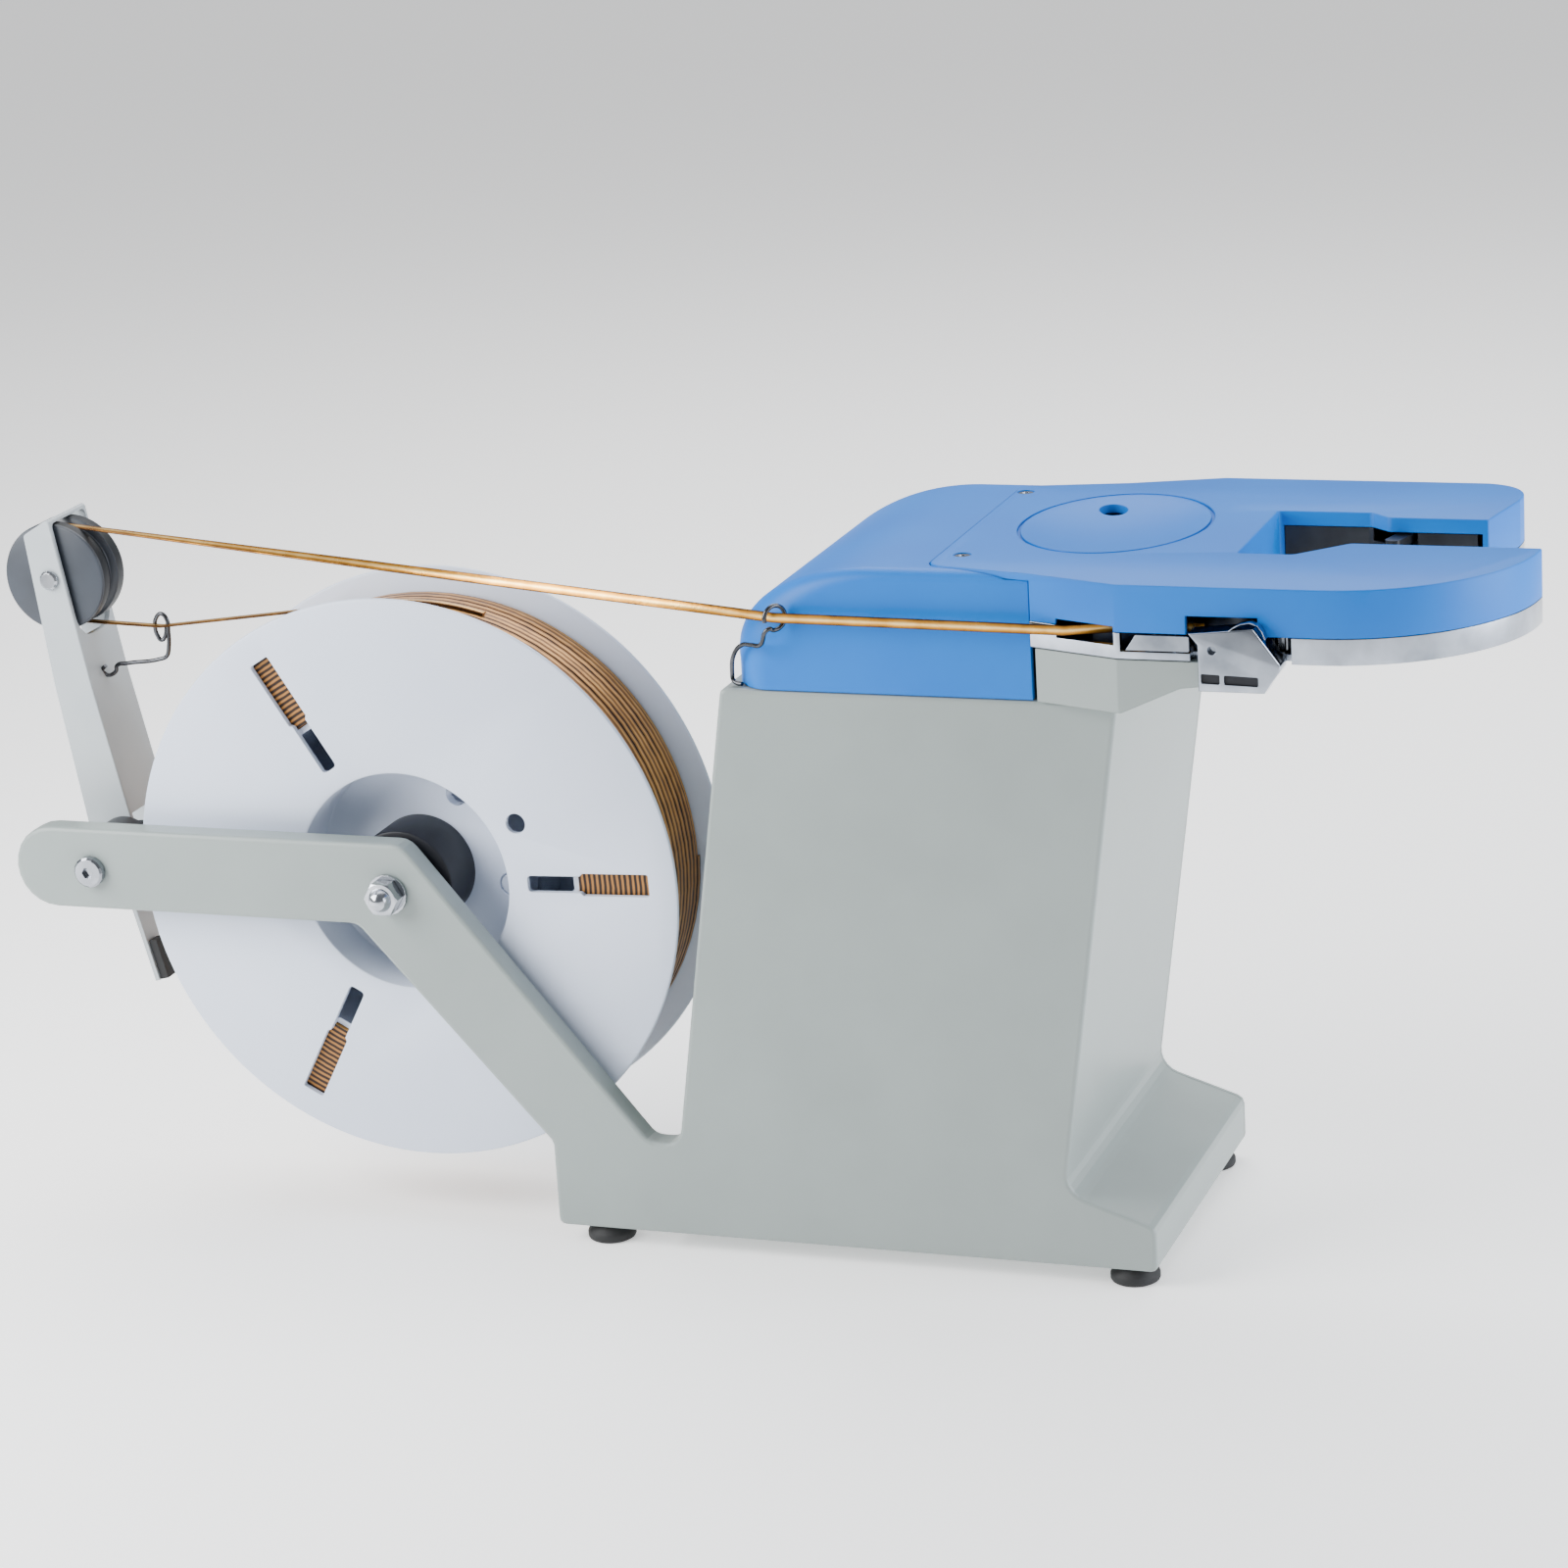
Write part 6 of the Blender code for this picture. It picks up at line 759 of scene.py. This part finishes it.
def stretched(shape):
    """A round shape about the dish's middle, drawn out across the cover."""
    middle = Matrix.Translation(-at(DISH_X, DISH_Y, 0))
    stretch = Matrix.Diagonal((1, DISH_RY / DISH_RX, 1, 1))
    bmesh.ops.transform(shape, matrix=stretch, space=middle, verts=shape.verts)
    return shape


shell = eased(flat(FORK + TONGUE, "Z", SKIRT_LOW, HEAD_TOP, 20), 0.7, level(HEAD_TOP), 3)
hall = flat(inside(HULL, WALL, NECK - 2), "Z", SKIRT_LOW - 2, LIP, 16)
hall = carve(hall, [block((347, 36.5, 267.9), (351.5, 108, 286.5))])
attic = flat(inside(FORK, WALL + 0.3, NECK - 2), "Z", LIP - 1, HEAD_TOP - WALL, 12)
under = block((233, NEAR - 1, COVER_EDGE), (NECK + 0.3, FAR + 1, HEAD_TOP - 2.8))
shell = carve(shell, [under, hall, attic])
shell = carve(shell, [dish(3.0, HEAD_TOP - 1)], "UNION")
groove_inner, groove_floor = DISH_RX - GROOVE_WIDTH, HEAD_TOP - GROOVE_DEPTH
groove = [(groove_inner, OVER), (groove_inner, groove_floor), (DISH_RX, groove_floor), (DISH_RX, OVER)]
thumb_hole = pin(281, 110.5, 5.8, 278, OVER)
hook_hole = spun([(0, 345), (5, 345), (5, 351.5), (0, 351.5)], 0, 276.0, 28, "X", 73.0)
feed_window = block((INLET_FROM, NEAR - 2, COVER_EDGE), (INLET_TO, 0, 274))
clamp_window = block((342, NEAR - 2, COVER_EDGE), (369.5, NEAR + 4.5, 279))
tools = [
    dish(0, OVER), stretched(spun(groove, DISH_X, 0, DISH_STEPS, "Z", DISH_Y)),
    thumb_hole, hook_hole, feed_window, clamp_window,
    *(pin(x, y, SCREW_RADIUS, HEAD_TOP - SCREW_SUNK, OVER) for x, y in SCREWS),
]
cover = piece("front_cover_shell", carve(shell, tools), [cover_blue], "machine", "front_cover", sharp=28)
print(cover.name, len(cover.data.polygons), "faces")

# %% [markdown]
# The rear cover is a hood that rises out of the column in a quarter turn and
# runs level to the front cover. Its sides are panels, and a rounded shoulder
# joins them to the crown. Both the crown's edge and the panel's edge follow
# quarter ellipses, so the hood is a loft: the same arched section, drawn at
# many angles and bridged from one to the next.

# %% Rear cover
CROWN, PANEL = (216.5, 250, 64, 39.7), (222, 242, 52, 43.6)
SHOULDER, SHOULDER_LOSS, SEAM_SLANT = 26, 20.5, 9.0 / 43.0
SEAM_X, SEAM_Y, SEAM_ROUND, SEAM_END, SEAM_DEPTH = 234.6, 7.6, 8.0, 279.0, 3.1


def quarter(ellipse, wall, angle):
    """A place (x, z) on a quarter ellipse (middle x, middle z, reach, rise), moved inwards by a wall."""
    x, z, reach, rise = ellipse
    return x - (reach - wall) * math.cos(angle), z + (rise - wall) * math.sin(angle)


def hood(wall, front, low, turns=32, arcs=10):
    """The hood as a solid, its skin moved inwards by a wall."""
    stations = []
    for k in range(turns + 1):
        angle = math.pi / 2 * k / turns
        depth = SHOULDER - SHOULDER_LOSS * math.sin(angle)
        stations.append((quarter(CROWN, wall, angle), quarter(PANEL, wall, angle), depth))
    (cx, _), (px, _), depth = stations[0]
    stations.insert(0, ((cx, low), (px, low), depth))
    (_, cz), (_, pz), depth = stations[-1]
    stations.append(((front, cz), (front, pz), depth))
    bm = bmesh.new()
    loops = []
    for crown, panel, depth in stations:
        near = []
        for k in range(arcs + 1):
            angle = math.pi / 2 * k / arcs
            share = math.sin(angle)
            x, z = panel[0] + (crown[0] - panel[0]) * share, panel[1] + (crown[1] - panel[1]) * share
            near.append((x, wall + depth * (1 - math.cos(angle)), z))
        arch = near + [(x, WIDTH - y, z) for x, y, z in reversed(near)]
        verts = [bm.verts.new(at(*place)) for place in arch]
        loops.append([bm.edges.new(pair) for pair in zip(verts, verts[1:])])
    for one, two in zip(loops, loops[1:]):
        bmesh.ops.bridge_loops(bm, edges=one + two)
    corners = [bm.verts.new(at(front, wall, low)), bm.verts.new(at(front, WIDTH - wall, low))]
    ends = [loop[0].verts[0] for loop in loops], [loop[-1].verts[1] for loop in loops]
    for line, corner in zip(ends, corners):
        bm.faces.new([*line, corner])
    bm.faces.new([*[edge.verts[0] for edge in loops[0]], loops[0][-1].verts[1], corners[1], corners[0]])
    bm.faces.new([*[edge.verts[0] for edge in loops[-1]], loops[-1][-1].verts[1], corners[1], corners[0]])
    return facing_out(bm)


seam = [
    (SEAM_X, SEAM_Y, SEAM_ROUND), (SEAM_END, SEAM_Y - SEAM_SLANT * 44, 0),
    (SEAM_END, WIDTH - SEAM_Y + SEAM_SLANT * 44, 0), (SEAM_X, WIDTH - SEAM_Y, SEAM_ROUND),
]
tools = [hood(3.0, 280, 238), flat(seam, "Z", HEAD_TOP - SEAM_DEPTH, OVER, 12), dish(3.5, OVER)]
shell = carve(hood(0, 277.7, 240.3), tools)
cover = piece("rear_cover_shell", shell, [cover_blue], "machine", "rear_cover", sharp=30)
print(cover.name, len(cover.data.polygons), "faces")

# %% [markdown]
# Under the cover shows the fork's plate, a band of polished stainless steel.
# It is a shallow tray on the same outline that carries the rollers, the needle
# and the trigger on short posts.

# %% Fork plate
tray = eased(flat(FORK, "Z", PLATE_LOW, PLATE_TOP, 24), 0.5, level(PLATE_LOW), 2)
tools = [
    flat(inside(HULL, 3.0, NECK - 2), "Z", PLATE_LOW + 2.5, PLATE_TOP + 2, 16),
    block((INLET_FROM, NEAR - 2, 266.6), (INLET_TO, 0, 274)),
    block((316.5, NEAR - 2, 264.5), (345, 0, 273.6)),
    block((343.4, NEAR - 2, 259.5), (382, NEAR + 5.3, 273.6)),
]
cam_low, cam_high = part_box("needle_cam")
shaft_y = ((cam_low.y + cam_high.y) / 2 - ZERO.y) / MM
tools.append(block((276, shaft_y - 9.5, 259.5), (320, shaft_y + 9.5, 266)))
tray = carve(tray, tools)
posts = [
    pin(375, 8, 4, 263, 279), pin(406, 120, 3, 263, 284.5),
    *(pin(332, y, 2.2, 263, 276) for y in (-3.6, 10.8)),
]
plate = piece("fork_plate", carve(tray, posts, "UNION"), [polished_steel], "machine", "base_plate")
print(plate.name, len(plate.data.polygons), "faces")

# %% [markdown]
# The feed clamp presses the tie onto the rollers. It is a thick plate of
# polished steel, cut to an outline, with two blind slots and a small hole. A
# black fill in each slot is painted shade, standing for the shade inside it. A
# leaf spring curls over its top, and a thin guard covers most of the window
# behind which the rollers turn. The clamp's front edges are rounded a little,
# as polishing leaves them.

# %% Feed clamp, its leaf spring and the roller guard
CLAMP = [
    (372.5, 251.3, 0), (374.9, 255.1, 0), (379.6, 261.4, 3), (368.9, 276.1, 0), (344.0, 273.5, 0),
    (347.5, 269.2, 0), (347.5, 251.3, 0),
]
SLOTTED = [
    [(348.6, 254.6, 0.6), (355.8, 254.4, 0.6), (355.8, 258.1, 0.6), (348.6, 258.3, 0.6)],
    [(357.4, 254.4, 0.6), (370.4, 254.0, 0.6), (370.4, 257.6, 0.6), (357.4, 258.0, 0.6)],
]
CLAMP_HALF, SLOT_FLOOR, SHADE_FILL_FACE = 5.0, NEAR - 1.4, NEAR - 4.2
front = at(0, NEAR - CLAMP_HALF + 0.1, 0).y
clamp = flat(CLAMP, "Y", NEAR - CLAMP_HALF, NEAR + CLAMP_HALF, 8)
clamp = eased(clamp, 0.7, lambda e: all(v.co.y < front for v in e.verts), 3)
tools = [
    block((300, NEAR - 0.3, 245), (348.9, NEAR + 7, PLATE_LOW - 0.3)),
    block((369.2, NEAR - 0.3, 271.3), (385, NEAR + 7, 280)),
    *(flat(slot, "Y", NEAR - 7, SLOT_FLOOR, 4) for slot in SLOTTED),
    spun([(0, NEAR - 7), (1.7, NEAR - 7), (1.7, NEAR - 2.4), (0, NEAR - 2.4)], 353.0, 267.4, 24),
]
piece("feed_clamp_polished", carve(clamp, tools), [polished_steel], "machine", "feed_clamp", sharp=28)
# Black fills in the slots: painted shade, standing for the shade in them.
for number, slot in enumerate(SLOTTED, 1):
    piece("clamp_slot_shade_fill_%d" % number, flat(slot, "Y", SHADE_FILL_FACE, SLOT_FLOOR, 4), [hub_black], "machine")
CURL = [
    (358.5, 274.0), (361.0, 276.0), (364.0, 277.6), (367.5, 278.2),
    (370.5, 277.2), (372.2, 274.9), (373.2, 272.0),
]
leaf = [(at(x, NEAR - 2.6, z), ACROSS) for x, z in CURL]
piece("clamp_leaf_spring", ribbon(leaf, 4.0, 0.5), [polished_steel], "machine")
guard = [(318.5, 264.9, 0), (343.0, 264.9, 0.8), (343.0, 270.9, 0.8), (322.5, 270.9, 0.8)]
piece("roller_guard", flat(guard, "Y", NEAR + 0.5, NEAR + 1.7, 4), [polished_steel], "machine")
print("feed clamp, leaf spring and guard")

# %% [markdown]
# The turned pieces that show are few: the reel's hub, the pulley, the spacer
# on the lever's pivot and the four rubber feet. Their outlines get small
# rounds, because a turned or moulded edge is never knife sharp and its round
# is what catches the light.

# %% Hub, spacer and feet
PIVOT_X, PIVOT_Z = -135.7, 150.3
hub = [
    (6.3, 19.5), (12.4, 19.5), (13.6, 18.9), (14.2, 14.3), (14.8, 13.6), (15.6, 13.5), (21.3, 13.5),
    (22.1, 13.8), (22.5, 14.6), (22.5, 37.2), (17.2, 37.2), (17.2, 50.9), (6.3, 50.9),
]
piece("reel_hub_turned", spun(hub, 0, REEL_Z, 96), [hub_black], "reel", "reel_hub")
ring = [(4.3, 10.3), (12.9, 10.3), (13.5, 10.9), (13.5, 33.0), (12.9, 34.1), (11.6, 34.9), (4.3, 34.9)]
piece("lever_spacer", spun(ring, PIVOT_X, PIVOT_Z, 72), [hub_black], "machine", "lever_bush")
FOOT = [(0, 0), (8.9, 0), (9.6, 0.4), (10, 1.2), (10, 3.0), (9.6, 3.9), (8.6, 5.2), (7.5, 6.9), (0, 6.9)]
for name, x, y in (
    ("foot_rear_near", 83.4, 10), ("foot_front_near", 306.5, 10),
    ("foot_rear_far", 134, 133), ("foot_front_far", 306.5, 133),
):
    piece(name + "_moulded", spun(FOOT, x, 0, 56, "Z", y), [foot_rubber], "machine", name)
print("hub, spacer and four feet")

# %% [markdown]
# The pulley is turned from slate grey acetal. Its faces are plain, and the
# strand runs in a groove in the middle of a wide rim. The rim is painted dark,
# a painted shade for the shade in and round its groove, so it takes a finish of its own.

# %% Pulley
PAINTED_SHADE_FROM, RIM_SPECULAR = 19.6, {"Specular IOR Level": 0.25}
# The rim's dark colour is painted shade.
rim_painted_shade = finish("acetal_rim_painted_shade", "101317", "181C22", 9, 0.5, 0.6, 0.008, more=RIM_SPECULAR)
turned = [
    (2.3, 38.8), (21.6, 38.8), (22.6, 39.2), (23.0, 40.1), (23.0, 44.7), (22.6, 45.2), (20.3, 45.9),
    (20.0, 46.3), (20.0, 50.8), (20.3, 51.2), (22.6, 51.9), (23.0, 52.4), (23.0, 57.4), (22.8, 58.0),
    (22.2, 58.3), (5.5, 58.3), (5.5, 65.6), (2.3, 65.6),
]
pulley = spun(turned, WHEEL_X, WHEEL_Z, 120)
axis = at(WHEEL_X, 0, WHEEL_Z)
# Faces of the rim beyond a radius take the painted shade.
for face in pulley.faces:
    middle = face.calc_center_median() - axis
    face.material_index = int(math.hypot(middle.x, middle.z) > PAINTED_SHADE_FROM * MM and abs(face.normal.y) < 0.3)
piece("lever_pulley_turned", pulley, [pulley_slate, rim_painted_shade], "guide_pulley", "lever_pulley")
print("pulley of two finishes")

# %% [markdown]
# The reel's shaft ends in a dome nut on a washer. A hexagon is the first
# shape of such a nut, its corners are then turned off at thirty degrees, and
# the dome is a half ball on top. The hexagon is cut from a turned blank here
# for the same reason: the blank brings the chamfer with it.

# %% Dome nut
BLANK = [
    (4.2, -2.3), (8.1, -2.3), (8.1, -7.6), (6.6, -8.5), (5.0, -8.6), (4.6, -9.8),
    (3.4, -11.8), (1.6, -12.9), (0, -13.2), (0, -9.0), (4.2, -9.0),
]
NUT_REACH, CORNERS = 7.5, [math.tau * k / 6 for k in range(6)]
hexagon = [(NUT_REACH * math.cos(a), REEL_Z + NUT_REACH * math.sin(a), 0) for a in CORNERS]
nut = carve(flat(hexagon, "Y", -20, 0), [spun(BLANK, 0, REEL_Z, 64)], "INTERSECT")
piece("dome_nut", nut, [bright_nickel], "machine", "shaft_nut", sharp=25)
print("dome nut")

# %% [markdown]
# The wire guides are spring wire of 1.8 mm bent by hand: a small foot, a run
# and an open eye for the strand. A curve with a round bevel draws such wire
# best, and it is turned into a mesh before it takes its place.

# %% Wire guides
GUIDE_WIRE, EYE_RADIUS = 0.9, 4.8


def wire(name, points, radius, paint, body, *replaced):
    """A smooth round wire through points in millimetres, with closed ends."""
    line = bpy.data.curves.new(name, "CURVE")
    line.dimensions = "3D"
    line.bevel_depth = radius * MM
    line.bevel_resolution = 4
    line.use_fill_caps = True
    line.resolution_u = 6
    spline = line.splines.new("BEZIER")
    spline.bezier_points.add(len(points) - 1)
    for knot, place in zip(spline.bezier_points, points):
        knot.co = at(*place)
        knot.handle_left_type = knot.handle_right_type = "AUTO"
    holder = bpy.data.objects.new(name, line)
    bpy.context.scene.collection.objects.link(holder)
    bpy.context.view_layer.update()
    bm = bmesh.new()
    bm.from_mesh(bpy.data.meshes.new_from_object(holder))
    bpy.data.objects.remove(holder, do_unlink=True)
    return piece(name, facing_out(bm), [paint], body, *replaced)


def open_eye(x, y, z, start, facing, turn=318, count=14):
    """The points of an open eye about a centre, in an upright plane turned by facing."""
    places, swing = [], math.radians(facing)
    for k in range(count + 1):
        angle = math.radians(start + turn * k / count)
        reach, rise = EYE_RADIUS * math.cos(angle), EYE_RADIUS * math.sin(angle)
        places.append((x + reach * math.cos(swing), y + reach * math.sin(swing), z + rise))
    return places


foot_z, lift = 241.2, 17.8
foot = [
    (158.4, 3.7, foot_z), (156, 4.6, foot_z), (154.2, 5.5, foot_z + 0.9), (154.2, 4.6, foot_z + lift / 5),
    (156, 2.75, foot_z + lift * 2 / 3), (160.8, 0, 258.1), (165.6, -2.8, 259), (170.4, -5.6, 259.9),
]
foot_and_eye = foot + open_eye(*HEAD_EYE, -126, 53)
wire("rear_guide_wire", foot_and_eye, GUIDE_WIRE, spring_wire, "machine", "rear_wire_guide")
stem = [
    (-144.9, 46.7, 225.8), (-147.1, 47.6, 223.4), (-145.4, 49.5, 220.9), (-142.8, 51.5, 222.2),
    (-142.1, 51.5, 224.6), (-137.0, 51.5, 225.8), (-121.6, 51.5, 228.1), (-118.0, 51.5, 229.6),
    (-116.6, 51.5, 233.6), (-116.1, 51.5, 240.0),
]
loop = [
    (-116.4, 51.5, 245.8), (-118.8, 51.7, 248.0), (-121.7, 52.0, 245.6), (-122.5, 52.2, 241.8),
    (-121.9, 52.5, 238.2), (-120.3, 52.8, 236.2), (-118.6, 53.2, 238.0), (-117.9, 53.6, 241.6),
]
wire("lever_guide_wire", stem + loop, GUIDE_WIRE, spring_wire, "tension_arm", "lever_wire_guide")
print("two wire guides")

# %% [markdown]
# The lever's torsion spring sits round its pivot bolt and pushes the brake pad
# onto the reel's rim. It is a real coil here, close wound, with a long leg that
# bears on the tongue. On the machine the coil stays on the bolt and the leg goes
# with the lever, as in any torsion spring; here coil and leg are one piece.

# %% Torsion spring
COILS, COIL_STEPS, COIL_REACH, COIL_Y, COIL_PITCH, COIL_WIRE = 4.5, 12, 6.3, 40.3, 2.1, 0.8
coil = []
for k in range(int(COILS * COIL_STEPS) + 1):
    angle = math.pi + math.tau * k / COIL_STEPS
    y = COIL_Y + COIL_PITCH * k / COIL_STEPS
    coil.append((PIVOT_X + COIL_REACH * math.cos(angle), y, PIVOT_Z + COIL_REACH * math.sin(angle)))
end_y = coil[-1][1]
leg = [(-131.5, end_y, 146.5), (-136.0, end_y, 141.0), (-146.2, end_y, 140.6), (-144.2, end_y, 119.5)]
spring = wire("lever_spring_coil", coil + leg, COIL_WIRE, spring_wire, None, "lever_spring")
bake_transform(spring)
low_corner, high_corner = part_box("lever_spring")
print("spring", [round(v / MM, 1) for v in high_corner - low_corner], "mm in the frame")
